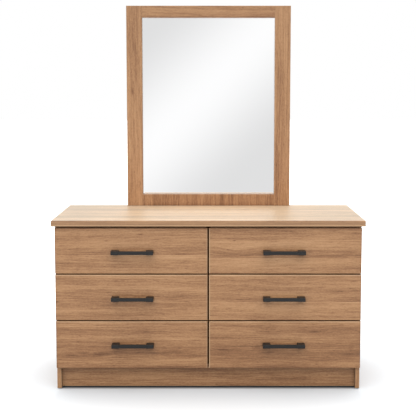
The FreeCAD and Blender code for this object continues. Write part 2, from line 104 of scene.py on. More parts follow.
class NodeSheet:
    """Writes one node tree: adds nodes, sets their plain values and links their sockets."""

    def __init__(self, tree: bpy.types.NodeTree) -> None:
        """Keeps the tree that the nodes go into."""
        self.tree = tree

    def add(self, kind: str, feeds: dict[Any, Any] | None = None, **settings: Any) -> Any:
        """Adds a node.

        Args:
            kind: the node's type name.
            feeds: a plain value or an output socket for each input, by name or place.
            settings: values of the node's own properties.

        Returns:
            The new node.
        """
        node = self.tree.nodes.new(kind)
        for name, value in settings.items():
            setattr(node, name, value)
        for key, value in (feeds or {}).items():
            self.feed(node.inputs[key], value)
        return node

    def feed(self, socket: bpy.types.NodeSocket, value: Any) -> None:
        """Fills an input.

        Args:
            socket: the input.
            value: the output that is linked to it, or its plain value.
        """
        if isinstance(value, bpy.types.NodeSocket):
            self.tree.links.new(value, socket)
        else:
            socket.default_value = value

    def place(self, output: str = "Object") -> Any:
        """Adds a Texture Coordinate node and returns its Object output, or the one named."""
        return self.add("ShaderNodeTexCoord").outputs[output]

    def math(self, operation: str, *values: Any, clamp: bool = False) -> Any:
        """Adds a Math node and returns its result."""
        feeds = dict(enumerate(values))
        return self.add("ShaderNodeMath", feeds, operation=operation, use_clamp=clamp).outputs[0]

    def times(self, first: Any, second: Any) -> Any:
        """Multiplies two values."""
        return self.math("MULTIPLY", first, second)

    def times_plus(self, first: Any, second: Any, third: Any) -> Any:
        """Multiplies two values and adds a third."""
        return self.math("MULTIPLY_ADD", first, second, third)

    def minus(self, first: Any, second: Any) -> Any:
        """Takes the second value from the first."""
        return self.math("SUBTRACT", first, second)

    def apart(self, value: Any) -> Any:
        """Drops a value's sign."""
        return self.math("ABSOLUTE", value)

    def vector(self, operation: str, *values: Any, output: str = "Vector") -> Any:
        """Adds a Vector Math node and returns its vector, or the output named."""
        feeds = dict(enumerate(values))
        return self.add("ShaderNodeVectorMath", feeds, operation=operation).outputs[output]

    def split(self, vector: Any) -> list[Any]:
        """Adds a Separate XYZ node and returns its three outputs."""
        return list(self.add("ShaderNodeSeparateXYZ", {0: vector}).outputs)

    def join(self, x: Any, y: Any, z: Any) -> Any:
        """Adds a Combine XYZ node and returns its vector."""
        return self.add("ShaderNodeCombineXYZ", {0: x, 1: y, 2: z}).outputs[0]

    def noise(self, place: Any, scales: Triple, detail: float = 2.0, roughness: float = 0.5) -> Any:
        """Adds a noise.

        Args:
            place: where it is read, in metres.
            scales: how many of its features make a metre along each axis.
            detail: how many finer layers it has.
            roughness: how strongly the finer layers show.

        Returns:
            Its value, from 0 to 1.
        """
        scaled = self.vector("MULTIPLY", place, scales)
        feeds = {"Vector": scaled, "Scale": 1.0, "Detail": detail, "Roughness": roughness}
        return self.add("ShaderNodeTexNoise", feeds).outputs[0]

    def spread(self, value: Any, low: float, high: float, start: Any = 0.0, end: Any = 1.0) -> Any:
        """Maps a value between two limits onto another range, with a smooth step.

        Args:
            value: the value to map.
            low: the limit that gives the start.
            high: the limit that gives the end.
            start: the result at the low limit and below.
            end: the result at the high limit and above.

        Returns:
            The result's socket.
        """
        feeds = {"Value": value, "From Min": low, "From Max": high, "To Min": start, "To Max": end}
        node = self.add("ShaderNodeMapRange", feeds, interpolation_type="SMOOTHSTEP")
        return node.outputs["Result"]

    def ramp(self, value: Any, stops: Stops) -> Any:
        """Adds a colour ramp.

        Args:
            value: where the ramp is read.
            stops: the place and colour of each stop.

        Returns:
            The colour's socket.
        """
        node = self.add("ShaderNodeValToRGB", {"Fac": value})
        elements = node.color_ramp.elements
        while len(elements) < len(stops):
            elements.new(1.0)
        for element, (place, colour) in zip(elements, stops):
            element.position = place
            element.color = (*colour, 1.0)
        return node.outputs["Color"]

    def mix(self, share: Any, first: Any, second: Any) -> Any:
        """Mixes two colours.

        Args:
            share: the second colour's share.
            first: a socket, or red, green and blue.
            second: a socket, or red, green and blue.

        Returns:
            The colour's socket.
        """
        node = self.add("ShaderNodeMix", {"Factor": share}, data_type="RGBA")
        for socket, value in zip((node.inputs[6], node.inputs[7]), (first, second)):
            self.feed(socket, value if isinstance(value, bpy.types.NodeSocket) else (*value, 1.0))
        return node.outputs[2]

    def coat(self, shader: Any, colour: Any, rough: Any, bump: tuple[Any, float, float]) -> None:
        """Gives a shader its colour, its roughness and a bump.

        Args:
            shader: the Principled shader.
            colour: the colour's socket.
            rough: the roughness's socket.
            bump: the height's socket, the strength and the distance.
        """
        self.feed(shader.inputs["Base Color"], colour)
        self.feed(shader.inputs["Roughness"], rough)
        feeds = dict(zip(("Height", "Strength", "Distance"), bump))
        self.feed(shader.inputs["Normal"], self.add("ShaderNodeBump", feeds).outputs[0])


def clean_sheet(owner: bpy.types.Material | bpy.types.World) -> NodeSheet:
    """Empties a node tree.

    Args:
        owner: the material or world that has the tree.

    Returns:
        The tree's sheet.
    """
    owner.use_nodes = True
    owner.node_tree.nodes.clear()
    return NodeSheet(owner.node_tree)


def new_material(name: str) -> tuple[bpy.types.Material, NodeSheet, Any]:
    """Makes a material with one Principled shader.

    Args:
        name: the material's name.

    Returns:
        The material, the sheet of its node tree, and its shader.
    """
    material = bpy.data.materials.new(name)
    sheet = clean_sheet(material)
    shader = sheet.add("ShaderNodeBsdfPrincipled")
    sheet.add("ShaderNodeOutputMaterial", {"Surface": shader.outputs[0]})
    return material, sheet, shader


@dataclass(frozen=True)
class PrintLayer:
    """A layer of the print: its features to the metre along and across the grain, its strength,
    and its noise's detail and roughness."""

    along: float
    across: float
    strength: float
    detail: float
    roughness: float = 0.5


@dataclass(frozen=True)
class WoodPrint:
    """The wood grain that is printed on every laminated board, as one shared node group."""

    name: str = "laminate wood print"
    drift: PrintLayer = PrintLayer(0.9, 4.0, 0.045, 1.0)
    sway: PrintLayer = PrintLayer(5.0, 17.0, 0.010, 2.0)
    bands: PrintLayer = PrintLayer(1.1, 30.0, 0.86, 2.0)
    streaks: PrintLayer = PrintLayer(4.5, 140.0, 0.66, 3.0, 0.6)
    dashes: PrintLayer = PrintLayer(17.0, 250.0, 0.56, 2.0, 0.6)
    fibres: PrintLayer = PrintLayer(28.0, 620.0, 0.42, 2.0, 0.6)
    grit: PrintLayer = PrintLayer(140.0, 300.0, 0.34, 1.0)
    clouds: PrintLayer = PrintLayer(3.0, 9.0, 0.30, 2.0)
    ring_room: PrintLayer = PrintLayer(2.2, 20.0, 0.055, 1.0)
    flecks: PrintLayer = PrintLayer(48.0, 330.0, -0.28, 1.0)
    pores: PrintLayer = PrintLayer(70.0, 1500.0, -0.16, 1.0)
    rings_per_metre: float = 95.0
    ring_bend: float = 9.0
    room_limits: Pair = (-0.05, 0.12)
    fleck_limits: Pair = (0.17, 0.27)
    pore_limits: Pair = (0.12, 0.22)
    middle: float = 0.52
    stops: Stops = (
        (0.0, (0.150, 0.064, 0.027)),
        (0.30, (0.295, 0.143, 0.064)),
        (0.52, (0.420, 0.222, 0.104)),
        (0.75, (0.512, 0.287, 0.142)),
        (1.0, (0.605, 0.372, 0.200)),
    )

    def group(self) -> bpy.types.NodeTree:
        """Builds the node group, or returns it if it is there.

        Returns:
            A group that takes a place along, across and into the wood in metres, a push across
            the grain, a shade and a contrast, and gives a colour, a tone and a height.
        """
        if self.name in bpy.data.node_groups:
            return bpy.data.node_groups[self.name]
        tree = bpy.data.node_groups.new(self.name, "ShaderNodeTree")
        takes = (("Place", "Vector"), ("Push", "Float"), ("Shade", "Float"), ("Contrast", "Float"))
        for label, kind in takes:
            tree.interface.new_socket(label, in_out="INPUT", socket_type="NodeSocket" + kind)
        for label, kind in (("Colour", "Color"), ("Tone", "Float"), ("Height", "Float")):
            tree.interface.new_socket(label, in_out="OUTPUT", socket_type="NodeSocket" + kind)
        sheet = NodeSheet(tree)
        given = sheet.add("NodeGroupInput").outputs
        along, across, depth = sheet.split(given["Place"])

        def layer(kind: PrintLayer, line: Any) -> Any:
            """Adds a layer's noise, drawn out along the grain and centred on zero."""
            scales = (kind.along, kind.across, kind.across)
            noise = sheet.noise(sheet.join(along, line, depth), scales, kind.detail, kind.roughness)
            return sheet.minus(noise, 0.5)

        line = across
        for kind in (self.drift, self.sway):
            line = sheet.times_plus(layer(kind, across), kind.strength, line)
        line = sheet.math("ADD", line, given["Push"])
        bands = layer(self.bands, line)
        fibres = layer(self.fibres, line)
        turn = sheet.times(line, self.rings_per_metre * 2 * pi)
        rings = sheet.math("SINE", sheet.times_plus(bands, self.ring_bend, turn))
        room = sheet.spread(layer(self.ring_room, across), *self.room_limits)
        flecks = sheet.spread(layer(self.flecks, line), *self.fleck_limits)
        pores = sheet.spread(layer(self.pores, line), *self.pore_limits)

        tone: Any = 0.0
        for kind, value in (
            (self.bands, bands),
            (self.streaks, layer(self.streaks, line)),
            (self.dashes, layer(self.dashes, line)),
            (self.fibres, fibres),
            (self.grit, layer(self.grit, line)),
            (self.clouds, layer(self.clouds, across)),
            (self.ring_room, sheet.times(rings, room)),
            (self.flecks, flecks),
            (self.pores, pores),
        ):
            tone = sheet.times_plus(value, kind.strength, tone)
        plain = sheet.minus(self.middle, given["Shade"])
        tone = sheet.times_plus(tone, given["Contrast"], plain)
        height = sheet.minus(fibres, pores)
        outputs = {"Colour": sheet.ramp(tone, self.stops), "Tone": tone, "Height": height}
        sheet.add("NodeGroupOutput", outputs)
        return tree


@dataclass(frozen=True)
class Figure:
    """A knot or a cathedral in the print, or a patch or line of painted light or shade, in metres from
    the board's middle.

    The print darkens in it by the shade, and the grain bends round it by the push.
    """

    along: float
    across: float
    length: float
    height: float
    shade: float
    push: float = 0.0


def figures(*rows: tuple[float, ...]) -> tuple[Figure, ...]:
    """Makes figures, each from its place, length, height, shade and push."""
    return tuple(Figure(*row) for row in rows)


@dataclass(frozen=True)
class PlankJoint:
    """A line in the print where one printed plank ends and a lighter one begins below it.

    The upper plank darkens towards the line by the shade over the fade, the lower plank starts
    lighter by the lift, and its print lies apart from the upper one's by the jump.
    """

    across: float
    shade: float = 0.10
    lift: float = 0.05
    fade: float = 0.016
    jump: float = 3.3


@dataclass(frozen=True)
class SideTint:
    """A colour mixed onto some sides of a board, as far as it reaches from the front edge.
    Its dark default colour is painted shade on faces in recesses and gaps; other colours give
    painted light or a side's plain colour.
    """

    sides: tuple[Side, ...]
    strength: float
    reach: float = 10.0
    colour: Triple = (0.050, 0.020, 0.006)


@dataclass(frozen=True)
class Laminate:
    """The printed laminate on one board: its grain's way, its own stretch of the print, and the
    sides where its edging carries a painted highlight, where painted shade or another tint lies,
    or where its core shows."""

    way: GrainWay
    seed: Triple = (0.0, 0.0, 0.0)
    tone: float = 0.0
    figures: tuple[Figure, ...] = ()
    joints: tuple[PlankJoint, ...] = ()
    contrast: float = 0.92
    roughness: float = 0.43
    ior: float = 1.42
    sheen: float = 0.0
    sheen_tint: Triple = (1.0, 0.74, 0.50)
    sheen_roughness: float = 0.5
    raw_sides: tuple[Side, ...] = ()
    side_tints: tuple[SideTint, ...] = ()
    highlight_sides: tuple[Side, ...] = ()
    highlight_share: float = 0.25
    highlight_width: float = 0.0018
    highlight_colour: Triple = (0.64, 0.44, 0.27)
    arris_shade_sides: tuple[Side, ...] = ()
    arris_shade_share: float = 0.80
    arris_shade_width: float = 0.0006
    arris_shade_colour: Triple = (0.050, 0.020, 0.006)
    line_fade: float = 0.0004
    tone_gloss: float = -0.10
    bump: Pair = (0.22, 0.0003)
    core_roughness: float = 0.45
    core_scales: Triple = (420.0, 420.0, 700.0)
    core_stops: Stops = (
        (0.0, (0.20, 0.13, 0.075)),
        (0.45, (0.42, 0.29, 0.17)),
        (1.0, (0.60, 0.45, 0.29)),
    )

    def dress(self, node: str) -> None:
        """Dresses a CAD node, with the pattern laid out on its box."""
        dress(node, self.material("laminate " + node, *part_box(node)))

    def material(self, name: str, low: Vector, high: Vector) -> bpy.types.Material:
        """Makes the board's material.

        Args:
            name: the material's name.
            low: the board's lowest corner.
            high: the board's highest corner.

        Returns:
            The material, which takes its pattern from Object coordinates.
        """
        material, sheet, shader = new_material(name)
        half = (high - low) / 2
        centred = sheet.vector("SUBTRACT", sheet.place(), tuple((low + high) / 2))
        axes = sheet.split(centred)
        along, across, depth = (axes[place] for place in self.way.value)
        push, shade = self.figure_fields(sheet, along, across)
        jump, shade = self.joint_fields(sheet, across, shade)
        place = sheet.join(along, across, sheet.math("ADD", depth, jump))
        place = sheet.vector("ADD", place, self.seed)
        wood = sheet.add("ShaderNodeGroup", node_tree=WoodPrint().group())
        given = {"Place": place, "Push": push, "Shade": shade, "Contrast": self.contrast}
        for label, value in given.items():
            sheet.feed(wood.inputs[label], value)

        # Painted highlight: light lines along the edging, where its rounded edge would catch the light.
        if self.highlight_sides:
            edge = self.side_lines(sheet, centred, half, self.highlight_sides, self.highlight_width)
        else:
            edge = self.highlight_lines(sheet, axes, half)
        edge = sheet.times(edge, self.highlight_share)
        colour = sheet.mix(edge, wood.outputs["Colour"], self.highlight_colour)
        # Painted shade: a dark line at the edge beside a gap, which widens the gap's shade; it is
        # partly the edging's dark glue line.
        if self.arris_shade_sides:
            arris = self.side_lines(sheet, centred, half, self.arris_shade_sides, self.arris_shade_width)
            colour = sheet.mix(sheet.times(arris, self.arris_shade_share), colour, self.arris_shade_colour)
        rough = sheet.times_plus(wood.outputs["Tone"], self.tone_gloss, self.roughness)
        if self.raw_sides:
            core = self.side_share(sheet, self.raw_sides)
            colour = sheet.mix(core, colour, self.core_colour(sheet))
            rough = sheet.math("MULTIPLY_ADD", core, self.core_roughness, rough, clamp=True)
        # Side tints: painted shade on faces in recesses and gaps, painted light on the top's upper
        # face, and a plain wood colour on the top's edges.
        for tint in self.side_tints:
            near = sheet.math("LESS_THAN", sheet.math("ADD", axes[1], half.y), tint.reach)
            share = sheet.times(near, self.side_share(sheet, tint.sides))
            colour = sheet.mix(sheet.times(share, tint.strength), colour, tint.colour)
        sheet.coat(shader, colour, rough, (wood.outputs["Height"], *self.bump))
        shader.inputs["IOR"].default_value = self.ior
        shader.inputs["Sheen Weight"].default_value = self.sheen
        shader.inputs["Sheen Roughness"].default_value = self.sheen_roughness
        shader.inputs["Sheen Tint"].default_value = (*self.sheen_tint, 1.0)
        return material

    def figure_fields(self, sheet: NodeSheet, along: Any, across: Any) -> tuple[Any, Any]:
        """Adds up the board's figures.

        Args:
            sheet: the material's sheet.
            along: the place along the grain.
            across: the place across the grain.

        Returns:
            The push across the grain and the shade at each place.
        """
        push: Any = 0.0
        shade: Any = -self.tone
        for figure in self.figures:
            here = sheet.join(
                sheet.math("DIVIDE", sheet.minus(along, figure.along), figure.length),
                sheet.math("DIVIDE", sheet.minus(across, figure.across), figure.height),
                0.0,
            )
            reach = sheet.math("POWER", sheet.vector("LENGTH", here, output="Value"), 2.0)
            bell = sheet.math("EXPONENT", sheet.times(reach, -1.0))
            push = sheet.times_plus(bell, figure.push, push)
            shade = sheet.times_plus(bell, figure.shade, shade)
        return push, shade

    def joint_fields(self, sheet: NodeSheet, across: Any, shade: Any) -> tuple[Any, Any]:
        """Adds the plank joints to the shade.

        Args:
            sheet: the material's sheet.
            across: the place across the grain.
            shade: the shade so far.

        Returns:
            How far each plank's print lies from the next one's, and the shade with the joints.
        """
        jump: Any = 0.0
        for joint in self.joints:
            away = sheet.minus(across, joint.across)
            above = sheet.math("GREATER_THAN", away, 0.0)
            near = sheet.math("EXPONENT", sheet.math("DIVIDE", sheet.apart(away), -joint.fade))
            step = sheet.times_plus(above, joint.shade + joint.lift, -joint.lift)
            shade = sheet.times_plus(near, step, shade)
            jump = sheet.times_plus(above, joint.jump, jump)
        return jump, shade

    def highlight_lines(self, sheet: NodeSheet, axes: Sequence[Any], half: Vector) -> Any:
        """Finds the lines along all the board's edges, for a painted highlight on the edging.

        Args:
            sheet: the material's sheet.
            axes: the place along X, Y and Z from the board's middle.
            half: half the board's size along X, Y and Z.

        Returns:
            1 on the lines and 0 elsewhere.
        """
        gaps = [sheet.minus(size, sheet.apart(value)) for size, value in zip(half, axes)]
        lesser = sheet.math("MINIMUM", gaps[0], gaps[1])
        greater = sheet.math("MAXIMUM", gaps[0], gaps[1])
        second = sheet.math("MAXIMUM", lesser, sheet.math("MINIMUM", greater, gaps[2]))
        return sheet.spread(second, self.highlight_width, self.highlight_width + self.line_fade, 1.0, 0.0)

    def side_lines(
        self, sheet: NodeSheet, centred: Any, half: Vector, sides: Sequence[Side], width: float
    ) -> Any:
        """Finds the lines that run along some sides of the board's front.

        Args:
            sheet: the material's sheet.
            centred: the place from the board's middle.
            half: half the board's size along X, Y and Z.
            sides: the sides that the lines run along.
            width: how wide the lines are.

        Returns:
            1 on the lines and 0 elsewhere.
        """
        nearest: Any = 1.0
        for side in sides:
            along = sheet.vector("DOT_PRODUCT", centred, side.value, output="Value")
            reach = abs(half.dot(Vector(side.value)))
            nearest = sheet.math("MINIMUM", nearest, sheet.minus(reach, along))
        line = sheet.spread(nearest, width, width + self.line_fade, 1.0, 0.0)
        return sheet.times(line, self.side_share(sheet, (Side.FRONT,)))

    def side_share(self, sheet: NodeSheet, sides: Sequence[Side]) -> Any:
        """Finds some sides of the board.

        Args:
            sheet: the material's sheet.
            sides: the sides.

        Returns:
            1 on those sides and 0 elsewhere.
        """
        normal = sheet.place("Normal")
        share: Any = 0.0
        for side in sides:
            facing = sheet.vector("DOT_PRODUCT", normal, side.value, output="Value")
            share = sheet.math("MAXIMUM", share, sheet.math("GREATER_THAN", facing, FACING_SHARE))
        return share

    def core_colour(self, sheet: NodeSheet) -> Any:
        """Adds the pattern of pressed chips.

        Args:
            sheet: the material's sheet.

        Returns:
            The pattern's colour.
        """
        place = sheet.vector("MULTIPLY", sheet.place(), self.core_scales)
        feeds = {"Vector": place, "Scale": 1.0, "Randomness": 1.0}
        value = sheet.split(sheet.add("ShaderNodeTexVoronoi", feeds).outputs["Color"])[0]
        return sheet.ramp(value, self.core_stops)


@dataclass(frozen=True)
class Grain:
    """A noise in a finish: its features to the metre along X, Y and Z, its share of the tone and
    of the relief, and its detail and roughness."""

    scales: Triple
    tone: float
    relief: float = 0.0
    detail: float = 2.0
    roughness: float = 0.5


@dataclass(frozen=True)
class Finish:
    """A finish that is the same on every piece that wears it.

    Its grains add up to a tone and a relief. The tone goes from the first colour to the last
    between its two limits, and the relief is a bump with a strength and a distance. The
    roughness follows the relief, or the tone.
    """

    name: str
    first: Triple
    last: Triple
    limits: Pair
    grains: tuple[Grain, ...]
    roughness: Pair
    bump: Pair
    tone_roughens: bool = False
    swing: Pair = (0.3, 0.7)
    metallic: float = 0.0
    ior: float = 1.5
    clear: float = 0.0

    def pattern(self, sheet: NodeSheet, place: Any) -> tuple[Any, Any]:
        """Returns what the tone starts from and what marks the bump, here nothing."""
        return 0.0, 0.0

    def material(self) -> bpy.types.Material:
        """Makes the material, the first time that it is asked for.

        Returns:
            The material.
        """
        if self.name in bpy.data.materials:
            return bpy.data.materials[self.name]
        material, sheet, shader = new_material(self.name)
        place = sheet.place()
        tone, marks = self.pattern(sheet, place)
        relief: Any = 0.0
        for grain in self.grains:
            noise = sheet.noise(place, grain.scales, grain.detail, grain.roughness)
            tone = sheet.times_plus(noise, grain.tone, tone)
            if grain.relief:
                relief = sheet.times_plus(noise, grain.relief, relief)
        colour = sheet.ramp(tone, tuple(zip(self.limits, (self.first, self.last))))
        rough = sheet.spread(tone if self.tone_roughens else relief, *self.swing, *self.roughness)
        sheet.coat(shader, colour, rough, (sheet.math("ADD", relief, marks), *self.bump))
        shader.inputs["Metallic"].default_value = self.metallic
        shader.inputs["IOR"].default_value = self.ior
        shader.inputs["Transmission Weight"].default_value = self.clear
        return material


@dataclass(frozen=True)
class Melamine(Finish):
    """A pale foil, printed with a fine linen weave over soft clouds."""

    limits: Pair = (0.35, 0.75)
    grains: tuple[Grain, ...] = (
        Grain((60.0, 60.0, 900.0), 0.45, 0.5, 1.0),
        Grain((900.0, 900.0, 60.0), 0.45, 0.5, 1.0),
        Grain((7.0, 7.0, 7.0), 0.25, detail=3.0),
    )
    roughness: Pair = (0.40, 0.52)
    bump: Pair = (0.15, 0.0002)


@dataclass(frozen=True)
class Fibreboard(Finish):
    """Pressed wood fibre with flecks and hairs over soft clouds."""

    limits: Pair = (0.38, 0.78)
    grains: tuple[Grain, ...] = (
        Grain((5.0, 5.0, 5.0), 0.35, detail=3.0),
        Grain((260.0, 260.0, 260.0), 0.55, 1.0, 3.0, 0.7),
        Grain((90.0, 90.0, 600.0), 0.25),
    )
    roughness: Pair = (0.72, 0.86)
    bump: Pair = (0.35, 0.0004)


@dataclass(frozen=True)
class Hardboard(Fibreboard):
    """Fibreboard that is marked by the screen of the press."""

    mesh_step: float = 0.0022
    mesh_depth: float = 0.6

    def pattern(self, sheet: NodeSheet, place: Any) -> tuple[Any, Any]:
        """Adds the screen's mark.

        Args:
            sheet: the material's sheet.
            place: where the finish is read.

        Returns:
            Nothing for the tone, and the mark for the bump.
        """
        x, _, z = sheet.split(place)
        turn = 2 * pi / self.mesh_step
        waves = [sheet.math("SINE", sheet.times(axis, turn)) for axis in (x, z)]
        return 0.0, sheet.times(sheet.times(*waves), self.mesh_depth)


@dataclass(frozen=True)
class PlanedSoftwood(Finish):
    """Planed pale softwood, from early wood to late wood, with its grain upright."""

    limits: Pair = (0.1, 0.95)
    grains: tuple[Grain, ...] = (Grain((1100.0, 1100.0, 22.0), 0.30, 1.0),)
    roughness: Pair = (0.55, 0.68)
    bump: Pair = (0.25, 0.0003)
    rings_per_metre: float = 170.0
    bend_scales: Triple = (9.0, 9.0, 2.2)
    bend: float = 0.022
    lean: float = 0.012
    late_tone: float = 0.65
    early_tone: float = 0.05
    sharpness: float = 3.0

    def pattern(self, sheet: NodeSheet, place: Any) -> tuple[Any, Any]:
        """Adds the rings, which bend and lean a little.

        Args:
            sheet: the material's sheet.
            place: where the finish is read.

        Returns:
            The rings for the tone, and nothing for the bump.
        """
        x, _, z = sheet.split(place)
        bent = sheet.times_plus(sheet.noise(place, self.bend_scales), self.bend, x)
        leaning = sheet.times_plus(sheet.apart(z), self.lean, bent)
        turn = sheet.times(leaning, self.rings_per_metre * 2 * pi)
        rings = sheet.times_plus(sheet.math("SINE", turn), 0.5, 0.5)
        rings = sheet.math("POWER", rings, self.sharpness)
        return sheet.times_plus(rings, self.late_tone, self.early_tone), 0.0


@dataclass(frozen=True)
class CoatedMetal(Finish):
    """A metal piece with a coat or plating whose tone and gloss vary a little."""

    limits: Pair = (0.3, 0.7)
    grains: tuple[Grain, ...] = (
        Grain((40.0, 40.0, 40.0), 0.6, detail=3.0),
        Grain((1500.0, 1500.0, 1500.0), 0.4, 1.0),
    )
    roughness: Pair = (0.28, 0.40)
    bump: Pair = (0.12, 0.0001)
    tone_roughens: bool = True
    metallic: float = 1.0


@dataclass(frozen=True)
class MouldedPlastic(Finish):
    """Moulded nylon or soft rubber."""

    limits: Pair = (0.3, 0.7)
    grains: tuple[Grain, ...] = (Grain((300.0, 300.0, 300.0), 1.0, 1.0, 3.0),)
    roughness: Pair = (0.37, 0.47)
    bump: Pair = (0.08, 0.0001)


@dataclass(frozen=True)
class SilveredGlass:
    """The mirror: silvered glass, a little greener on its ground edges, whose bevel is so slight
    that it reflects nearly as the flat glass does."""

    name: str = "silvered glass"
    silver: Triple = (0.956, 0.957, 0.962)
    edge: Triple = (0.62, 0.74, 0.70)
    edge_limits: Pair = (0.0002, 0.0012)
    haze_scales: Triple = (6.0, 6.0, 6.0)
    haze_limits: Pair = (0.3, 0.8)
    roughness: Pair = (0.004, 0.014)
    flatness: float = 9.0
    front_limit: float = -0.5

    def material(self, low: Vector, high: Vector) -> bpy.types.Material:
        """Makes the material.

        Args:
            low: the glass's lowest corner.
            high: the glass's highest corner.

        Returns:
            The material.
        """
        material, sheet, shader = new_material(self.name)
        half = (high - low) / 2
        x, _, z = sheet.split(sheet.vector("SUBTRACT", sheet.place(), tuple((low + high) / 2)))
        gaps = [sheet.minus(size, sheet.apart(value)) for size, value in ((half.x, x), (half.z, z))]
        edge = sheet.spread(sheet.math("MINIMUM", *gaps), *self.edge_limits, 1.0, 0.0)
        sheet.feed(shader.inputs["Base Color"], sheet.mix(edge, self.silver, self.edge))
        haze = sheet.noise(sheet.place(), self.haze_scales, detail=3.0)
        rough = sheet.spread(haze, *self.haze_limits, *self.roughness)
        sheet.feed(shader.inputs["Roughness"], rough)
        normal = sheet.add("ShaderNodeNewGeometry").outputs["Normal"]
        front = sheet.math("LESS_THAN", sheet.split(normal)[1], self.front_limit)
        leaning = sheet.vector("ADD", normal, sheet.join(0.0, sheet.times(front, -self.flatness), 0.0))
        sheet.feed(shader.inputs["Normal"], sheet.vector("NORMALIZE", leaning))
        shader.inputs["Metallic"].default_value = 1.0
        return material


ZINC = CoatedMetal(
    "zinc plated steel", (0.50, 0.51, 0.52), (0.66, 0.67, 0.68), roughness=(0.30, 0.42),
    grains=(Grain((120.0, 120.0, 120.0), 0.6, detail=3.0), Grain((900.0, 900.0, 900.0), 0.4, 1.0)),
)
SCREW_STEEL = CoatedMetal("screw steel", (0.42, 0.40, 0.36), (0.62, 0.60, 0.55))
HANDLE_COAT = CoatedMetal(
    "handle coat", (0.0064, 0.0056, 0.0053), (0.0100, 0.0088, 0.0084), roughness=(0.36, 0.46),
    metallic=0.0, ior=1.35,
)
GLIDE_NYLON = MouldedPlastic("glide nylon", (0.07, 0.066, 0.062), (0.10, 0.095, 0.09))
CLEAR_RUBBER = MouldedPlastic(
    "clear rubber", (0.72, 0.72, 0.70), (0.80, 0.80, 0.78), roughness=(0.23, 0.33), clear=0.35
)
BOX_FOIL = Melamine("drawer box melamine", (0.53, 0.49, 0.43), (0.66, 0.62, 0.56))
HARDBOARD = Hardboard("hardboard", (0.27, 0.17, 0.10), (0.42, 0.29, 0.18))
BACKING_BOARD = Fibreboard("mirror backing board", (0.20, 0.145, 0.095), (0.33, 0.25, 0.17))
BATTEN_WOOD = PlanedSoftwood("planed softwood", (0.62, 0.44, 0.25), (0.44, 0.26, 0.12))


def dress(node: str, material: bpy.types.Material) -> None:
    """Puts a material on a CAD node's slots.

    Args:
        node: the node's name.
        material: the material.
    """
    for slot in frame["nodes"][node].material_slots:
        slot.material = material
    log.info("%s wears %s", node, material.name)


def stand(name: str, data: Any) -> bpy.types.Object:
    """Puts a mesh, lamp or camera into the scene.

    Args:
        name: the object's name.
        data: the mesh, lamp or camera.

    Returns:
        The object, at the origin.
    """
    thing = bpy.data.objects.new(name, data)
    bpy.context.scene.collection.objects.link(thing)
    return thing


def plain_mesh(thing: bpy.types.Object) -> bpy.types.Mesh:
    """Takes an object out of the scene.

    Args:
        thing: the object, with its modifiers.

    Returns:
        The mesh that its modifiers made of it.
    """
    shown = thing.evaluated_get(bpy.context.evaluated_depsgraph_get())
    mesh = bpy.data.meshes.new_from_object(shown)
    bpy.data.objects.remove(thing)
    return mesh


def form_mesh(form: bmesh.types.BMesh, name: str) -> bpy.types.Mesh:
    """Turns a closed form into a mesh.

    Args:
        form: the form, which is freed.
        name: the mesh's name.

    Returns:
        The mesh, with its faces outwards.
    """
    bmesh.ops.recalc_face_normals(form, faces=form.faces)
    mesh = bpy.data.meshes.new(name)
    form.to_mesh(mesh)
    form.free()
    return mesh


def lathe(name: str, outline: Sequence[Pair], sides: int) -> bpy.types.Mesh:
    """Turns an outline round Z into a closed shape.

    Args:
        name: the mesh's name.
        outline: radius and height of each point, from the axis at the top to the axis below.
        sides: how many flat sides the shape has.

    Returns:
        The mesh.
    """
    form = bmesh.new()
    rings = []
    for radius, height in outline:
        if radius == 0.0:
            rings.append([form.verts.new((0.0, 0.0, height))] * sides)
            continue
        angles = [2 * pi * side / sides for side in range(sides)]
        rings.append([form.verts.new((radius * cos(a), radius * sin(a), height)) for a in angles])
    for upper, lower in zip(rings, rings[1:]):
        for side in range(sides):
            after = (side + 1) % sides
            corners = (upper[side], lower[side], lower[after], upper[after])
            form.faces.new(list(dict.fromkeys(corners)))
    return form_mesh(form, name)


def cad_islands(node: str) -> list[list[Vector]]:
    """Finds the separate solids in a CAD node.

    Args:
        node: the node's name.

    Returns:
        The corners of each solid.
    """
    form = bmesh.new()
    form.from_mesh(frame["nodes"][node].data)
    bmesh.ops.remove_doubles(form, verts=form.verts, dist=WELD_DISTANCE)
    islands = []
    left = set(form.verts)
    while left:
        found = [left.pop()]
        for vert in found:
            for edge in vert.link_edges:
                other = edge.other_vert(vert)
                if other in left:
                    left.remove(other)
                    found.append(other)
        islands.append([vert.co.copy() for vert in found])
    form.free()
    return islands


def corner_pair(points: Sequence[Vector]) -> tuple[Vector, Vector]:
    """Returns the lowest and the highest corner of a solid."""
    return Vector(tuple(map(min, zip(*points)))), Vector(tuple(map(max, zip(*points))))


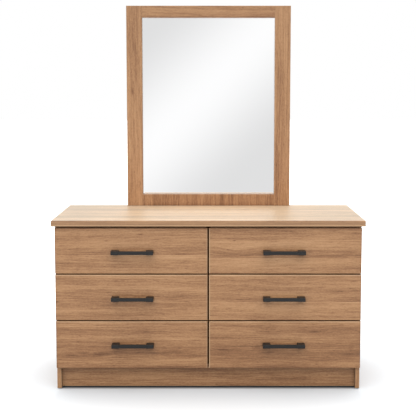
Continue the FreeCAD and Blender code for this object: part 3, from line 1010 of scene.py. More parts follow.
@dataclass(frozen=True)
class Fastener:
    """A screw, glide or bumper found in a CAD node: where its head sits and how large it is."""

    seat: Vector
    facing: Vector
    head_radius: float
    head_height: float
    shank_radius: float
    length: float

    @classmethod
    def from_points(cls, points: Sequence[Vector], flat: bool) -> "Fastener":
        """Measures a fastener.

        Args:
            points: the corners of its CAD solid.
            flat: whether it is flatter than it is wide.

        Returns:
            The fastener.
        """
        low, high = corner_pair(points)
        spans = [high[i] - low[i] for i in range(3)]
        axis = spans.index(min(spans) if flat else max(spans))
        middle = (low + high) / 2
        line = Vector((0.0, 0.0, 0.0))
        line[axis] = 1.0
        reach = [((point - middle) - line * (point - middle)[axis]).length for point in points]
        widest = max(reach)
        wide = [point[axis] for point, r in zip(points, reach) if r > RIM_SHARE * widest]
        forward = sum(wide) / len(wide) > middle[axis]
        top = high[axis] if forward else low[axis]
        head = max(abs(top - place) for place in wide)
        narrow = [r for point, r in zip(points, reach) if abs(point[axis] - top) > head * NECK_SHARE]
        seat = middle.copy()
        seat[axis] = top - head if forward else top + head
        shank = max(narrow, default=0.0)
        length = (high - low)[axis] - head
        return cls(seat, line if forward else -line, widest, head, shank, length)

    @property
    def kind(self) -> tuple[float, ...]:
        """The fastener's sizes, which are the same for one kind when rounded."""
        sizes = (self.head_radius, self.head_height, self.shank_radius, self.length)
        return tuple(round(size, KIND_PLACES) for size in sizes)


@dataclass(frozen=True)
class Dome:
    """The look of a domed glide or bumper."""

    sides: int = 16
    crown: tuple[Pair, ...] = ((0.0, 1.0), (0.45, 0.94), (0.78, 0.72), (0.95, 0.38), (1.0, 0.0))
    tip: float = 0.85

    def shape(self, name: str, item: Fastener) -> bpy.types.Mesh:
        """Turns one fastener, with its seat at the origin and its head upwards.

        Args:
            name: the mesh's name.
            item: the fastener that gives the sizes.

        Returns:
            The shape, with a pointed shank where the fastener has one.
        """
        wide, high, shank = item.head_radius, item.head_height, item.shank_radius
        outline = [(share * wide, rise * high) for share, rise in self.crown]
        if shank:
            outline += [(shank, 0.0), (shank, -self.tip * item.length), (0.0, -item.length)]
        else:
            outline.append((0.0, 0.0))
        return lathe(name, outline, self.sides)


@dataclass(frozen=True)
class CrossHead(Dome):
    """The look of a pan-head screw with a cross recess."""

    sides: int = 12
    crown: tuple[Pair, ...] = ((0.0, 1.0), (0.66, 0.90), (1.0, 0.42), (1.0, 0.0))
    tip: float = 0.88
    arm_length: float = 0.56
    arm_width: float = 0.17
    recess_depth: float = 0.62
    recess_taper: float = 0.6
    cutter_rise: float = 1.2

    def shape(self, name: str, item: Fastener) -> bpy.types.Mesh:
        """Turns one screw and cuts the recess into its head.

        Args:
            name: the mesh's name.
            item: the fastener that gives the sizes.

        Returns:
            The screw.
        """
        wide, high = item.head_radius, item.head_height
        screw = stand(name, super().shape(name, item))
        arm, width = wide * self.arm_length, wide * self.arm_width
        floor, mouth = high * (1.0 - self.recess_depth), high * self.cutter_rise
        cutter = stand("recess", self.cross(arm, width, floor, mouth))
        cut = screw.modifiers.new("recess", "BOOLEAN")
        cut.operation = "DIFFERENCE"
        cut.solver = "EXACT"
        cut.object = cutter
        mesh = plain_mesh(screw)
        bpy.data.objects.remove(cutter)
        return mesh

    def cross(self, arm: float, width: float, low: float, high: float) -> bpy.types.Mesh:
        """Makes the cross that is cut out of the head, narrower below.

        Args:
            arm: how far each arm reaches from the middle.
            width: half an arm's width.
            low: the height of the recess's floor.
            high: a height above the head.

        Returns:
            The cross.
        """
        corners = [(arm, -width), (arm, width), (width, width)]
        for _ in range(3):
            corners += [(-y, x) for x, y in corners[-3:]]
        form = bmesh.new()
        taper = self.recess_taper
        floor = [form.verts.new((x * taper, y * taper, low)) for x, y in corners]
        mouth = [form.verts.new((x, y, high)) for x, y in corners]
        form.faces.new(floor[::-1])
        form.faces.new(mouth)
        for place, (below, above) in enumerate(zip(floor, mouth)):
            after = (place + 1) % len(corners)
            form.faces.new((below, floor[after], mouth[after], above))
        return form_mesh(form, "recess")


class PieceTree(NodeSheet):
    """A Geometry Nodes tree that sets shapes on points and gives one dressed mesh."""

    def __init__(self, name: str, inputs: Sequence[tuple[str, str]]) -> None:
        """Makes the tree with its sockets.

        Args:
            name: the tree's name.
            inputs: the name and kind of each input between the geometry and the seed.
        """
        super().__init__(bpy.data.node_groups.new(name, "GeometryNodeTree"))
        sockets = self.tree.interface
        takes = (("Geometry", "Geometry"), *inputs, ("Seed", "Int"), ("Material", "Material"))
        for label, kind in takes:
            sockets.new_socket(label, in_out="INPUT", socket_type="NodeSocket" + kind)
        sockets.new_socket("Geometry", in_out="OUTPUT", socket_type="NodeSocketGeometry")
        self.given = self.add("NodeGroupInput").outputs

    def close(self, feeds: dict[str, Any]) -> bpy.types.NodeTree:
        """Sets the shapes on the points and ends in Realize Instances and Set Material.

        Args:
            feeds: the points, the shape and the turn.

        Returns:
            The finished tree.
        """
        placed = self.add("GeometryNodeInstanceOnPoints", feeds)
        real = self.add("GeometryNodeRealizeInstances", {"Geometry": placed.outputs[0]})
        ends = {"Geometry": real.outputs[0], "Material": self.given["Material"]}
        dressed = self.add("GeometryNodeSetMaterial", ends)
        self.add("NodeGroupOutput", {0: dressed.outputs[0]})
        return self.tree


def run_tree(name: str, start: bpy.types.Mesh, tree: Any, given: dict[str, Any]) -> bpy.types.Object:
    """Runs a Geometry Nodes tree.

    Args:
        name: the piece's name.
        start: the mesh that the tree starts from.
        tree: the tree.
        given: the value of each of its inputs, by name.

    Returns:
        The piece, with a plain mesh.
    """
    carrier = stand(name + "_start", start)
    modifier = carrier.modifiers.new(tree.name, "NODES")
    modifier.node_group = tree
    for item in tree.interface.items_tree:
        if item.in_out == "INPUT" and item.name in given:
            modifier[item.identifier] = given[item.name]
    return stand(name, plain_mesh(carrier))


def place_piece(piece: bpy.types.Object, body: str, slot: str, *nodes: str) -> None:
    """Makes a piece ride on a body and stand for CAD nodes, which it hides.

    Args:
        piece: the piece.
        body: the body's name.
        slot: the record's material slot; not used.
        nodes: the CAD nodes that it replaces.
    """
    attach(piece, body)
    if nodes:
        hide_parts(*nodes)


@dataclass(frozen=True)
class FastenerLook:
    """How one sort of fastener looks: the ending of its name, its slot, finish and shape."""

    ending: str
    slot: str
    finish: Finish
    shape: Callable[[str, Fastener], bpy.types.Mesh]
    flat: bool = False
    tree_name: str = "fasteners on points"

    def tree(self) -> bpy.types.NodeTree:
        """Builds the tree, or returns it if it is there.

        Returns:
            A tree that sets a shape on every point, turned the way that the fastener faces.
        """
        if self.tree_name in bpy.data.node_groups:
            return bpy.data.node_groups[self.tree_name]
        sheet = PieceTree(self.tree_name, (("Shapes", "Collection"),))
        facing, kind = (
            sheet.add("GeometryNodeInputNamedAttribute", {"Name": name}, data_type=data_type).outputs[0]
            for name, data_type in (("facing", "FLOAT_VECTOR"), ("kind", "INT"))
        )
        aligned = sheet.add("FunctionNodeAlignRotationToVector", {"Vector": facing}, axis="Z")
        turns = {"Max": 2 * pi, "Seed": sheet.given["Seed"]}
        chance = sheet.add("FunctionNodeRandomValue", turns, data_type="FLOAT")
        about_axis = {"Axis": (0.0, 0.0, 1.0), "Angle": chance.outputs[1]}
        spin = sheet.add("FunctionNodeAxisAngleToRotation", about_axis)
        both = {"Rotation": aligned.outputs[0], "Rotate By": spin.outputs[0]}
        turned = sheet.add("FunctionNodeRotateRotation", both, rotation_space="LOCAL")
        separate = {"Separate Children": True, "Reset Children": True}
        feeds = {"Collection": sheet.given["Shapes"], **separate}
        shapes = sheet.add("GeometryNodeCollectionInfo", feeds)
        return sheet.close({
            "Points": sheet.given["Geometry"],
            "Instance": shapes.outputs[0],
            "Pick Instance": True,
            "Instance Index": kind,
            "Rotation": turned.outputs[0],
        })

    def replace(self, node: str, body: str, seed: int) -> None:
        """Makes one piece that stands for a CAD node's plain fasteners.

        Args:
            node: the CAD node.
            body: the body that it rides on.
            seed: chooses how far each fastener is turned.
        """
        name = node + self.ending
        found = (Fastener.from_points(points, self.flat) for points in cad_islands(node))
        fasteners = sorted(found, key=lambda item: [round(value, KIND_PLACES) for value in item.seat])
        kinds = sorted({item.kind for item in fasteners})
        shapes = bpy.data.collections.new(name + "_shapes")
        for number, kind in enumerate(kinds):
            example = next(item for item in fasteners if item.kind == kind)
            label = f"{name}_shape_{number:02d}"
            shapes.objects.link(bpy.data.objects.new(label, self.shape(label, example)))
        points = bpy.data.meshes.new(name)
        points.from_pydata([item.seat for item in fasteners], [], [])
        ways = points.attributes.new("facing", "FLOAT_VECTOR", "POINT")
        ways.data.foreach_set("vector", [value for item in fasteners for value in item.facing])
        numbers = points.attributes.new("kind", "INT", "POINT")
        numbers.data.foreach_set("value", [kinds.index(item.kind) for item in fasteners])
        given = {"Shapes": shapes, "Seed": seed, "Material": self.finish.material()}
        piece = run_tree(name, points, self.tree(), given)
        for template in list(shapes.objects):
            bpy.data.objects.remove(template)
        bpy.data.collections.remove(shapes)
        log.info("%s: %d fasteners of %d kinds", name, len(fasteners), len(kinds))
        place_piece(piece, body, self.slot, node)


CROSSED_SCREWS = FastenerLook("_crossed", "screw_steel", SCREW_STEEL, CrossHead().shape)
DOMED_GLIDES = FastenerLook("_domed", "glide_plastic", GLIDE_NYLON, Dome().shape)
DOMED_BUMPERS = FastenerLook("_domed", "bumper_rubber", CLEAR_RUBBER, Dome().shape, True)


@dataclass(frozen=True)
class NailRows:
    """The nails along the back panels' edges, each a little off its row."""

    spacing: float = 0.072
    head_radius: float = 0.0027
    head_height: float = 0.0006
    shank_radius: float = 0.0008
    shank_length: float = 0.018
    head_slope: float = 0.72
    shank_point: float = 0.3
    head_sides: int = 12
    shank_sides: int = 6
    inset: float = 0.008
    batten_margin: float = 0.0105
    drift: float = 0.0012
    seed: int = 23

    def build(self) -> None:
        """Makes one piece of all the nails."""
        ends = self.ends()
        path = bpy.data.meshes.new("nail_rows")
        path.from_pydata(ends, [(place, place + 1) for place in range(0, len(ends), 2)], [])
        sizes = {
            "Spacing": self.spacing,
            "Head Radius": self.head_radius,
            "Head Height": self.head_height,
            "Shank Radius": self.shank_radius,
            "Shank Length": self.shank_length,
        }
        tree = self.tree(tuple(sizes))
        given = {**sizes, "Seed": self.seed, "Material": SCREW_STEEL.material()}
        nails = run_tree("back_panel_nails", path, tree, given)
        log.info("%s: %d rows", nails.name, len(ends) // 2)
        place_piece(nails, CABINET, "screw_steel")

    def tree(self, sizes: Sequence[str]) -> bpy.types.NodeTree:
        """Builds the tree.

        Args:
            sizes: the names of the inputs that are sizes.

        Returns:
            A tree that sets a nail at every step along a curve, with its head facing +Y.
        """
        sheet = PieceTree("nails along a path", [(label, "Float") for label in sizes])
        given = sheet.given
        path = sheet.add("GeometryNodeMeshToCurve", {0: given["Geometry"]})
        steps = {"Curve": path.outputs[0], "Length": given["Spacing"]}
        places = sheet.add("GeometryNodeCurveToPoints", steps, mode="LENGTH")
        wide, thin = given["Head Radius"], given["Shank Radius"]
        rims = sheet.times(wide, self.head_slope), sheet.times(thin, self.shank_point)
        head = self.cone(sheet, self.head_sides, rims[0], wide, given["Head Height"])
        shank = self.cone(sheet, self.shank_sides, thin, rims[1], given["Shank Length"])
        down = sheet.join(0.0, 0.0, sheet.times(given["Shank Length"], -1.0))
        lowered = sheet.add("GeometryNodeTransform", {"Geometry": shank, "Translation": down})
        nail = sheet.add("GeometryNodeJoinGeometry", {0: lowered.outputs[0]})
        sheet.feed(nail.inputs[0], head)
        reach = (self.drift, 0.0, self.drift)
        limits = {"Min": tuple(-value for value in reach), "Max": reach, "Seed": given["Seed"]}
        drift = sheet.add("FunctionNodeRandomValue", limits, data_type="FLOAT_VECTOR")
        moves = {"Geometry": places.outputs[0], "Offset": drift.outputs[0]}
        points = sheet.add("GeometryNodeSetPosition", moves).outputs[0]
        turn = (-pi / 2, 0.0, 0.0)
        return sheet.close({"Points": points, "Instance": nail.outputs[0], "Rotation": turn})

    def cone(self, sheet: NodeSheet, sides: int, top: Any, bottom: Any, depth: Any) -> Any:
        """Adds a cone with its sides, two radii and depth, and returns its mesh."""
        feeds = {"Vertices": sides, "Radius Top": top, "Radius Bottom": bottom, "Depth": depth}
        return sheet.add("GeometryNodeMeshCone", feeds).outputs[0]

    def ends(self) -> list[Vector]:
        """Lays out the rows along the back panels' edges.

        Returns:
            The two ends of each row. The upper rows stop beside the battens.
        """
        battens, panels = (
            sorted(map(corner_pair, cad_islands(node)), key=lambda pair: pair[0].x)
            for node in ("mirror_battens", "back_panels")
        )
        ends = []
        for low, high in panels:
            left, right = low.x + self.inset, high.x - self.inset
            under, upper = low.z + self.inset, high.z - self.inset
            face = high.y + self.head_height / 2
            marks = [(left, under), (left, upper), (right, under), (right, upper)]
            marks += [(left, under), (right, under), (left, upper)]
            for near, far in battens:
                if left < near.x and far.x < right:
                    gap = (near.x - self.batten_margin, far.x + self.batten_margin)
                    marks += [(x, upper) for x in gap]
            marks.append((right, upper))
            ends += [Vector((x, face, z)) for x, z in marks]
        return ends


@dataclass(frozen=True)
class Cabinet:
    """The body: its boards, back panels, runners and fasteners. Each board has its own stretch
    of the print, one seed step after the board before it."""

    boards: tuple[tuple[str, Laminate], ...] = (
        ("top_panel", Laminate(
            GrainWay.LEVEL_ON_TOP,
            tone=-0.137,
            # The first three figures are long bands across the whole width: a lighter band near the
            # front and two darker bands behind it.
            # The last two are painted shade that darkens both ends, where the top shows more of the
            # white surround's reflection.
            # The next three are painted light and shade in the middle, before the mirror: a lighter
            # patch standing for the light that the mirror throws down, a darker band, and a lighter
            # band near the front.
            figures=figures(
                (0.0, -0.172, 1.4, 0.026, -0.10), (0.1, -0.104, 1.1, 0.010, 0.08),
                (-0.1, 0.080, 1.2, 0.018, 0.06), (0.0, 0.090, 0.300, 0.150, -0.35),
                (0.0, -0.024, 0.350, 0.040, 0.05), (0.0, -0.190, 0.350, 0.030, -0.12),
                (0.500, 0.0, 0.160, 1.0, 0.20), (-0.520, 0.0, 0.140, 1.0, 0.18),
            ),
            contrast=1.3,
            roughness=0.45,
            ior=1.40,
            sheen=0.43,
            sheen_tint=(0.98, 0.945, 0.74),
            raw_sides=(Side.REAR,),
            # The front edge and ends take a plain wood colour. The upper face takes painted light: a
            # paler cream that stands for the top's grazing sheen.
            side_tints=(
                SideTint((Side.FRONT, Side.LEFT, Side.RIGHT), 0.60, colour=(0.420, 0.245, 0.130)),
                SideTint((Side.UPPER,), 0.11, colour=(0.80, 0.70, 0.50)),
            ),
            # A painted highlight along the lower arris of the front edge.
            highlight_sides=(Side.UNDER,),
            highlight_share=0.80,
            highlight_width=0.0045,
            highlight_colour=(0.95, 0.62, 0.34),
        )),
        # Painted shade on the side panels: on each inner face close to the front edge, in the plinth's
        # recess, and on the left panel's front edge.
        ("side_panel_left", Laminate(
            GrainWay.UPRIGHT_ON_SIDE,
            raw_sides=(Side.REAR, Side.UNDER),
            side_tints=(SideTint((Side.RIGHT,), 0.60, 0.022), SideTint((Side.FRONT,), 0.14)),
        )),
        ("side_panel_right", Laminate(
            GrainWay.UPRIGHT_ON_SIDE,
            raw_sides=(Side.REAR, Side.UNDER),
            side_tints=(SideTint((Side.LEFT,), 0.60, 0.022),),
        )),
        # Painted shade: the divider's front edge, seen through the gap between the columns, is darkened
        # nearly to black.
        ("centre_divider", Laminate(
            GrainWay.UPRIGHT_ON_SIDE,
            ior=1.12,
            raw_sides=(Side.REAR,),
            side_tints=(SideTint((Side.FRONT,), 0.95),),
        )),
        ("bottom_panel", Laminate(GrainWay.LEVEL_ON_TOP, raw_sides=(Side.REAR,))),
        ("plinth_front", Laminate(
            GrainWay.LEVEL,
            tone=-0.10,
            figures=figures(
                (0.106, -0.004, 0.040, 0.007, 0.08, 0.004), (-0.330, 0.008, 0.060, 0.006, 0.07),
                (0.380, -0.009, 0.110, 0.009, 0.08),
            ),
            raw_sides=(Side.UPPER,),
        )),
        ("plinth_rear", Laminate(GrainWay.LEVEL, raw_sides=(Side.UNDER, Side.UPPER))),
        ("front_rails", Laminate(GrainWay.LEVEL_ON_TOP, raw_sides=(Side.REAR,))),
        ("rear_rails", Laminate(GrainWay.LEVEL, raw_sides=(Side.UNDER,))),
    )
    seed_start: Triple = (0.0, 0.4, 0.0)
    seed_step: Triple = (3.7, 1.31, 0.77)

    def build(self) -> None:
        """Dresses the body's CAD nodes and adds the nails."""
        for place, (node, board) in enumerate(self.boards):
            seed = tuple(step * place + start for step, start in zip(self.seed_step, self.seed_start))
            replace(board, seed=seed).dress(node)
        dress("back_panels", HARDBOARD.material())
        dress("cabinet_runners", ZINC.material())
        dress("cam_locks", SCREW_STEEL.material())
        CROSSED_SCREWS.replace("cabinet_screws", CABINET, seed=11)
        DOMED_GLIDES.replace("floor_glides", CABINET, seed=5)
        DOMED_BUMPERS.replace("drawer_bumpers", CABINET, seed=5)
        NailRows().build()


class Row(Enum):
    """A row of drawers."""

    TOP = "top"
    MIDDLE = "middle"
    BOTTOM = "bottom"


class Column(Enum):
    """A column of drawers, seen from the front."""

    LEFT = "left"
    RIGHT = "right"


@dataclass(frozen=True)
class Drawer:
    """One drawer: its front, box, bottom, handle, runners and screws.

    The front's board says its print. Its edging carries painted highlights towards the other column,
    and along the upper edge below the top row, and painted shade on its thin edge faces in the gaps
    and in a line at its inner edge. Its outer end has a painted dark line where the edging turns
    away from the light, and the top row has a painted shadow under the top panel's lip.
    """

    row: Row
    column: Column
    board: Laminate
    highlight_share: float = 0.72
    highlight_width: float = 0.0034
    arris_shade_left: float = 0.0026
    arris_shade_right: float = 0.0002
    rim_shade: float = 0.50
    lip_shadow_strength: float = 0.20
    lip_shadow_height: float = 0.010
    end_place: float = 0.2820
    end_width: float = 0.0030
    end_shade: float = 0.16

    def front(self, height: float) -> Laminate:
        """Adds the painted highlights and painted shade at the front's edges to its board.

        Args:
            height: how high the front is.

        Returns:
            The front's finish.
        """
        left, top = self.column is Column.LEFT, self.row is Row.TOP
        inner = Side.RIGHT if left else Side.LEFT
        lit = (inner,) if top else (inner, Side.UPPER)
        # Painted shade: a dark line along the outer end, where the edging turns away from the light.
        end = -self.end_place if left else self.end_place
        marks = (Figure(end, 0.0, self.end_width, 1.0, self.end_shade),)
        # Painted shadow under the top panel's lip, along the top row's upper edge.
        if top:
            marks += (Figure(0.0, height / 2, 1.0, self.lip_shadow_height, self.lip_shadow_strength),)
        return replace(
            self.board,
            figures=self.board.figures + marks,
            # Painted shade on the front's thin edge faces in the gaps.
            side_tints=(SideTint((*lit, Side.UNDER), self.rim_shade),),
            highlight_sides=lit,
            highlight_share=self.highlight_share,
            highlight_width=self.highlight_width,
            arris_shade_sides=(inner,),
            arris_shade_width=self.arris_shade_left if left else self.arris_shade_right,
        )

    def build(self) -> None:
        """Dresses the drawer's CAD nodes."""
        body = f"{self.row.value}_{self.column.value}_drawer"
        low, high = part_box(body + "_front")
        self.front(high.z - low.z).dress(body + "_front")
        dress(body + "_box", BOX_FOIL.material())
        dress(body + "_bottom", BOX_FOIL.material())
        dress(body + "_handle", HANDLE_COAT.material())
        dress(body + "_runners", ZINC.material())
        CROSSED_SCREWS.replace(body + "_screws", body, seed=len(body))


# Each board's third value is its tone. The bottom row's darker tones are partly painted shade, for the
# light that falls off towards the floor, and partly the print's own spread between boards.
DRAWERS = (
    Drawer(Row.TOP, Column.LEFT, Laminate(
        GrainWay.LEVEL, (19.07, 6.81, 3.1), -0.01,
        figures(
            (0.035, 0.062, 0.010, 0.0025, 0.30), (-0.256, 0.017, 0.032, 0.008, 0.10, 0.005),
            (-0.262, 0.019, 0.009, 0.0025, 0.18), (-0.165, 0.004, 0.040, 0.009, 0.06, 0.006),
            (-0.102, 0.002, 0.018, 0.006, 0.09, 0.004), (0.210, 0.004, 0.085, 0.006, 0.10),
            (0.185, -0.011, 0.030, 0.0030, 0.20), (0.230, 0.069, 0.007, 0.0022, 0.18),
        ),
        (PlankJoint(-0.015, 0.12),),
    )),
    Drawer(Row.TOP, Column.RIGHT, Laminate(
        GrainWay.LEVEL, (14.2, 4.8, 0.9), -0.042,
        figures(
            (-0.190, 0.002, 0.085, 0.020, 0.07, 0.014), (-0.165, -0.014, 0.060, 0.0030, 0.10),
            (0.187, 0.004, 0.090, 0.014, 0.08), (0.258, 0.067, 0.012, 0.0025, 0.24),
            (0.165, 0.033, 0.010, 0.0028, 0.14), (0.050, 0.055, 0.120, 0.020, -0.06),
        ),
        (PlankJoint(-0.026, fade=0.014),),
    )),
    Drawer(Row.MIDDLE, Column.LEFT, Laminate(
        GrainWay.LEVEL, (20.01, 7.77, 2.9), -0.062,
        figures(
            (-0.056, 0.066, 0.010, 0.0025, 0.32), (-0.034, 0.064, 0.008, 0.0022, 0.26),
            (0.010, 0.064, 0.090, 0.004, 0.08), (-0.090, -0.007, 0.012, 0.004, 0.12),
            (-0.120, -0.010, 0.150, 0.018, 0.06), (-0.279, -0.0155, 0.009, 0.0030, 0.32),
            (0.165, -0.006, 0.060, 0.013, 0.06, 0.009), (0.195, -0.014, 0.030, 0.0030, 0.12),
        ),
        (PlankJoint(-0.034, 0.06, 0.03),),
    )),
    Drawer(Row.MIDDLE, Column.RIGHT, Laminate(
        GrainWay.LEVEL, (24.43, 10.25, 4.4), -0.01,
        figures(
            (0.256, 0.062, 0.013, 0.0028, 0.32), (0.133, 0.038, 0.010, 0.0024, 0.22),
            (0.230, 0.014, 0.070, 0.016, 0.07), (0.255, -0.040, 0.045, 0.006, 0.08),
            (-0.200, -0.004, 0.080, 0.008, 0.08),
        ),
        (PlankJoint(-0.016, fade=0.012),),
    )),
    Drawer(Row.BOTTOM, Column.LEFT, Laminate(
        GrainWay.LEVEL, (25.81, 11.17, 4.7), -0.178,
        figures(
            (-0.150, -0.040, 0.065, 0.012, 0.10, 0.0085), (-0.122, -0.037, 0.014, 0.0035, 0.22),
            (-0.095, -0.036, 0.012, 0.0038, 0.20), (-0.235, -0.044, 0.050, 0.007, 0.22),
            (0.060, -0.031, 0.100, 0.005, 0.10), (0.145, -0.030, 0.100, 0.006, 0.16),
            (0.215, -0.042, 0.080, 0.006, 0.12), (0.168, 0.076, 0.050, 0.005, 0.14),
            (-0.120, 0.074, 0.050, 0.005, 0.12), (0.0, 0.030, 0.300, 0.022, -0.05),
        ),
    )),
    Drawer(Row.BOTTOM, Column.RIGHT, Laminate(
        GrainWay.LEVEL, (31.91, 14.43, 6.8), -0.145,
        figures(
            (-0.074, 0.050, 0.040, 0.012, 0.04, 0.0095), (-0.074, 0.050, 0.020, 0.0035, 0.24),
            (-0.060, 0.058, 0.050, 0.0022, 0.12), (-0.062, 0.042, 0.045, 0.0022, 0.12),
            (0.111, 0.050, 0.045, 0.011, 0.05, 0.0090), (0.111, 0.050, 0.020, 0.0032, 0.24),
            (0.125, 0.057, 0.060, 0.0022, 0.12), (-0.230, -0.022, 0.050, 0.011, 0.10, 0.0080),
            (-0.225, -0.019, 0.022, 0.0030, 0.14), (-0.103, -0.012, 0.022, 0.006, 0.14, 0.0040),
            (0.219, -0.020, 0.075, 0.006, 0.10), (0.205, -0.038, 0.080, 0.005, 0.09),
            (0.212, 0.077, 0.011, 0.0025, 0.20),
        ),
        (PlankJoint(-0.044, 0.06, 0.05),),
    )),
)


@dataclass(frozen=True)
class Mirror:
    """The framed mirror with the battens, clips and screws behind it."""

    highlight_share: float = 0.08
    # Painted shade: the stiles' inner faces and the bottom rail's upper face, from their side tints,
    # a line along the left stile's inner edge (its last figure), and a contact shadow along the
    # bottom rail's foot (its figure). The right stile's figure is a lighter line along its inner edge.
    boards: tuple[tuple[str, Laminate], ...] = (
        ("mirror_stile_left", Laminate(
            GrainWay.UPRIGHT, (41.2, 7.3, 2.2), -0.036,
            figures(
                (0.063, -0.008, 0.018, 0.0055, 0.14, 0.0035), (0.062, -0.009, 0.006, 0.0020, 0.18),
                (0.387, -0.016, 0.009, 0.0022, 0.16), (0.0, 0.0315, 2.0, 0.0055, 0.15),
            ),
            side_tints=(SideTint((Side.RIGHT,), 0.45),),
        )),
        ("mirror_stile_right", Laminate(
            GrainWay.UPRIGHT, (47.9, 9.1, 3.1), -0.045,
            figures((0.0, -0.029, 2.0, 0.0035, -0.08)),
            side_tints=(SideTint((Side.LEFT,), 0.20),),
        )),
        ("mirror_rail_top", Laminate(GrainWay.LEVEL, (52.4, 4.6, 5.3), -0.073)),
        ("mirror_rail_bottom", Laminate(
            GrainWay.UPRIGHT, (58.1, 6.4, 7.7), -0.110,
            figures((-0.024, 0.0, 0.008, 1.0, 0.16)),
            side_tints=(SideTint((Side.UPPER,), 0.40),),
        )),
    )

    def build(self) -> None:
        """Dresses the mirror's CAD nodes."""
        for node, board in self.boards:
            replace(board, highlight_share=self.highlight_share).dress(node)
        dress("mirror_glass", SilveredGlass().material(*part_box("mirror_glass")))
        dress("mirror_backing", BACKING_BOARD.material())
        dress("mirror_battens", BATTEN_WOOD.material())
        dress("mirror_clips", ZINC.material())
        CROSSED_SCREWS.replace("mirror_screws", CABINET, seed=17)


@dataclass(frozen=True)
class SoftSun:
    """A wide sun before the dresser, or behind it. Its strength is the share of its own colour
    that a surface facing it shows, and its height and width are in degrees."""

    name: str
    strength: float
    height: float
    width: float
    behind: bool = False

    def build(self) -> None:
        """Makes the lamp."""
        data = bpy.data.lights.new(self.name, "SUN")
        data.energy = self.strength * pi
        data.angle = radians(self.width)
        lean = radians(90.0 - self.height)
        stand(self.name, data).rotation_euler = (-lean if self.behind else lean, 0.0, 0.0)


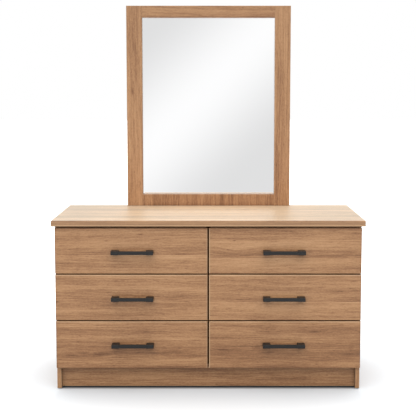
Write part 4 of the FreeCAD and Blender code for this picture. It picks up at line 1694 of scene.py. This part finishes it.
@dataclass(frozen=True)
class Studio:
    """A pale floor with a painted shadow round the dresser, a white surround, two soft suns, a card for
    the mirror, and the camera.
    """

    surround: float = 0.75
    floor_side: float = 60.0
    floor_bounce: float = 0.30
    floor_shadow_near: float = 0.685
    floor_shadow_mid: float = 0.82
    floor_far: float = 1.10
    floor_shadow_tint: Triple = (0.960, 0.995, 1.025)
    far_tint: Triple = (0.98, 1.0, 1.015)
    shadow_reach: float = 0.30
    far_from: float = 0.7
    far_reach: float = 1.2
    side_haste: float = 0.4
    side_shadow_lift: float = 0.07
    lift_reach: float = 0.020
    contact_shadow_tone: float = 0.14
    contact_shadow_reach: float = 0.030
    contact_shadow_side: float = 0.016
    card_place: Triple = (0.0, -5.2, 1.1)
    card_side: float = 2.2
    card_grey: float = 0.778
    card_white: float = 1.03
    card_slope: float = 0.972
    card_height: float = 1.162
    card_reach: float = 1.234
    suns: tuple[SoftSun, ...] = (
        SoftSun("front_sun", 0.60, 50.0, 80.0),
        SoftSun("back_sun", 0.60, 62.0, 90.0, behind=True),
    )
    camera_place: Triple = (0.0091, -3.4322, 1.1202)
    camera_dip: float = 5.198
    camera_lens: float = 76.27
    sensor_width: float = 36.0
    camera_shift: Pair = (-0.0066, -0.09)

    def build(self) -> None:
        """Makes everything that stands round the dresser."""
        self.make_world()
        self.make_floor()
        self.make_card()
        for sun in self.suns:
            sun.build()
        self.make_camera()

    def seen_share(self, sheet: NodeSheet) -> Any:
        """Finds the rays that show the background.

        Args:
            sheet: the sheet of the world or the floor.

        Returns:
            1 for rays from the camera, gloss or glass, and 0 for the others.
        """
        path = sheet.add("ShaderNodeLightPath").outputs
        seen = sheet.math("MAXIMUM", path["Is Camera Ray"], path["Is Glossy Ray"])
        return sheet.math("MAXIMUM", seen, path["Is Transmission Ray"])

    def make_world(self) -> None:
        """Makes a world that is white to the camera and to reflections, and lights softly."""
        world = bpy.data.worlds.new("surround")
        sheet = clean_sheet(world)
        light = sheet.times_plus(self.seen_share(sheet), 1.0 - self.surround, self.surround)
        shader = sheet.add("ShaderNodeBackground", {"Color": (1.0, 1.0, 1.0, 1.0), "Strength": light})
        sheet.add("ShaderNodeOutputWorld", {"Surface": shader.outputs[0]})
        bpy.context.scene.world = world

    def make_floor(self) -> None:
        """Makes the pale floor, with a painted shadow round the dresser's foot: darker and cooler close
        to it, a little lighter beside it.
        """
        material = bpy.data.materials.new("pale floor")
        sheet = clean_sheet(material)
        x, y, _ = sheet.split(sheet.place())
        low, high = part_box("bottom_panel")
        foot = (high - low) / 2
        # Painted shadow: the floor's tone rises from the dresser's foot outwards and is lifted beside
        # it. Camera, gloss and glass rays see this painted tone; other rays see the plain bounce.
        beside = sheet.minus(sheet.apart(x), foot.x)
        lift = sheet.spread(beside, 0.0, self.lift_reach, 1.0, 1.0 + self.side_shadow_lift)
        gaps = (sheet.times(beside, self.side_haste), sheet.minus(sheet.apart(y), foot.y))
        outside = [sheet.math("MAXIMUM", gap, 0.0) for gap in gaps]
        away = sheet.vector("LENGTH", sheet.join(*outside, 0.0), output="Value")
        near = sheet.spread(away, 0.0, self.shadow_reach, self.floor_shadow_near, self.floor_shadow_mid)
        start = self.shadow_reach * self.far_from
        tone = sheet.times(sheet.spread(away, start, self.far_reach, near, self.floor_far), lift)
        shade = sheet.minus(tone, self.floor_bounce)
        shade = sheet.times_plus(self.seen_share(sheet), shade, self.floor_bounce)
        # Painted contact shadow under the dresser and close before its plinth.
        shade = sheet.times(shade, self.contact_shadow_share(sheet, x, y))
        # Painted shadow colour: cooler close to the dresser.
        tint = sheet.mix(sheet.spread(away, 0.0, self.shadow_reach), self.floor_shadow_tint, self.far_tint)
        colour = sheet.vector("MULTIPLY", sheet.join(shade, shade, shade), tint)
        shader = sheet.add("ShaderNodeBsdfDiffuse", {"Color": colour})
        sheet.add("ShaderNodeOutputMaterial", {"Surface": shader.outputs[0]})
        floor = self.make_plane("floor", (0.0, 0.0, 0.0), self.floor_side, material)

    def contact_shadow_share(self, sheet: NodeSheet, x: Any, y: Any) -> Any:
        """Paints the floor's contact shadow under the dresser and close before its plinth.

        Args:
            sheet: the floor's sheet.
            x: the place along X.
            y: the place along Y.

        Returns:
            The share of the floor's tone that the painted contact shadow keeps.
        """
        low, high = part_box("plinth_front")
        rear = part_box("plinth_rear")[1].y
        ahead = sheet.spread(sheet.minus(low.y, y), 0.0, self.contact_shadow_reach)
        behind = sheet.spread(sheet.minus(y, rear), -self.contact_shadow_reach, 0.0)
        beside = sheet.spread(sheet.minus(sheet.apart(x), high.x), 0.0, self.contact_shadow_side)
        outside = sheet.math("MAXIMUM", sheet.math("MAXIMUM", ahead, behind), beside)
        return sheet.times_plus(outside, 1.0 - self.contact_shadow_tone, self.contact_shadow_tone)

    def make_card(self) -> None:
        """Makes the card behind the camera whose soft white band shows in the mirror."""
        material = bpy.data.materials.new("mirror card")
        sheet = clean_sheet(material)
        x, _, z = sheet.split(sheet.place())
        rise = sheet.minus(z, self.card_height)
        away = sheet.apart(sheet.times_plus(x, -self.card_slope, rise))
        share = sheet.spread(away, 0.0, self.card_reach, self.card_white, self.card_grey)
        shader = sheet.add("ShaderNodeEmission", {"Strength": share})
        sheet.add("ShaderNodeOutputMaterial", {"Surface": shader.outputs[0]})
        card = self.make_plane("mirror_card", self.card_place, self.card_side, material, pi / 2)
        for ray in ("camera", "diffuse", "transmission", "volume_scatter", "shadow"):
            setattr(card, "visible_" + ray, False)

    def make_plane(
        self, name: str, middle: Triple, side: float, material: bpy.types.Material, tilt: float = 0.0
    ) -> bpy.types.Object:
        """Makes a square sheet with its place in its mesh.

        Args:
            name: the object's name.
            middle: the sheet's middle.
            side: its side.
            material: its material.
            tilt: its turn about X.

        Returns:
            The object.
        """
        turn = Euler((tilt, 0.0, 0.0)).to_matrix()
        signs = ((-1, -1), (1, -1), (1, 1), (-1, 1))
        corners = [Vector(middle) + turn @ Vector((x * side / 2, y * side / 2, 0.0)) for x, y in signs]
        mesh = bpy.data.meshes.new(name)
        mesh.from_pydata(corners, [], [(0, 1, 2, 3)])
        mesh.materials.append(material)
        return stand(name, mesh)

    def make_camera(self) -> None:
        """Makes the camera at the photograph's viewing angle."""
        data = bpy.data.cameras.new("camera")
        data.lens = self.camera_lens
        data.sensor_width = self.sensor_width
        data.shift_x, data.shift_y = self.camera_shift
        camera = stand("camera", data)
        camera.location = self.camera_place
        camera.rotation_euler = (radians(90.0 - self.camera_dip), 0.0, 0.0)
        bpy.context.scene.camera = camera
        bpy.context.scene.view_settings.view_transform = "Standard"


def main() -> None:
    logging.basicConfig(level=logging.INFO, format="%(name)s: %(message)s")
    for part in (Cabinet(), *DRAWERS, Mirror(), Studio()):
        part.build()


if __name__ == "__main__":
    main()
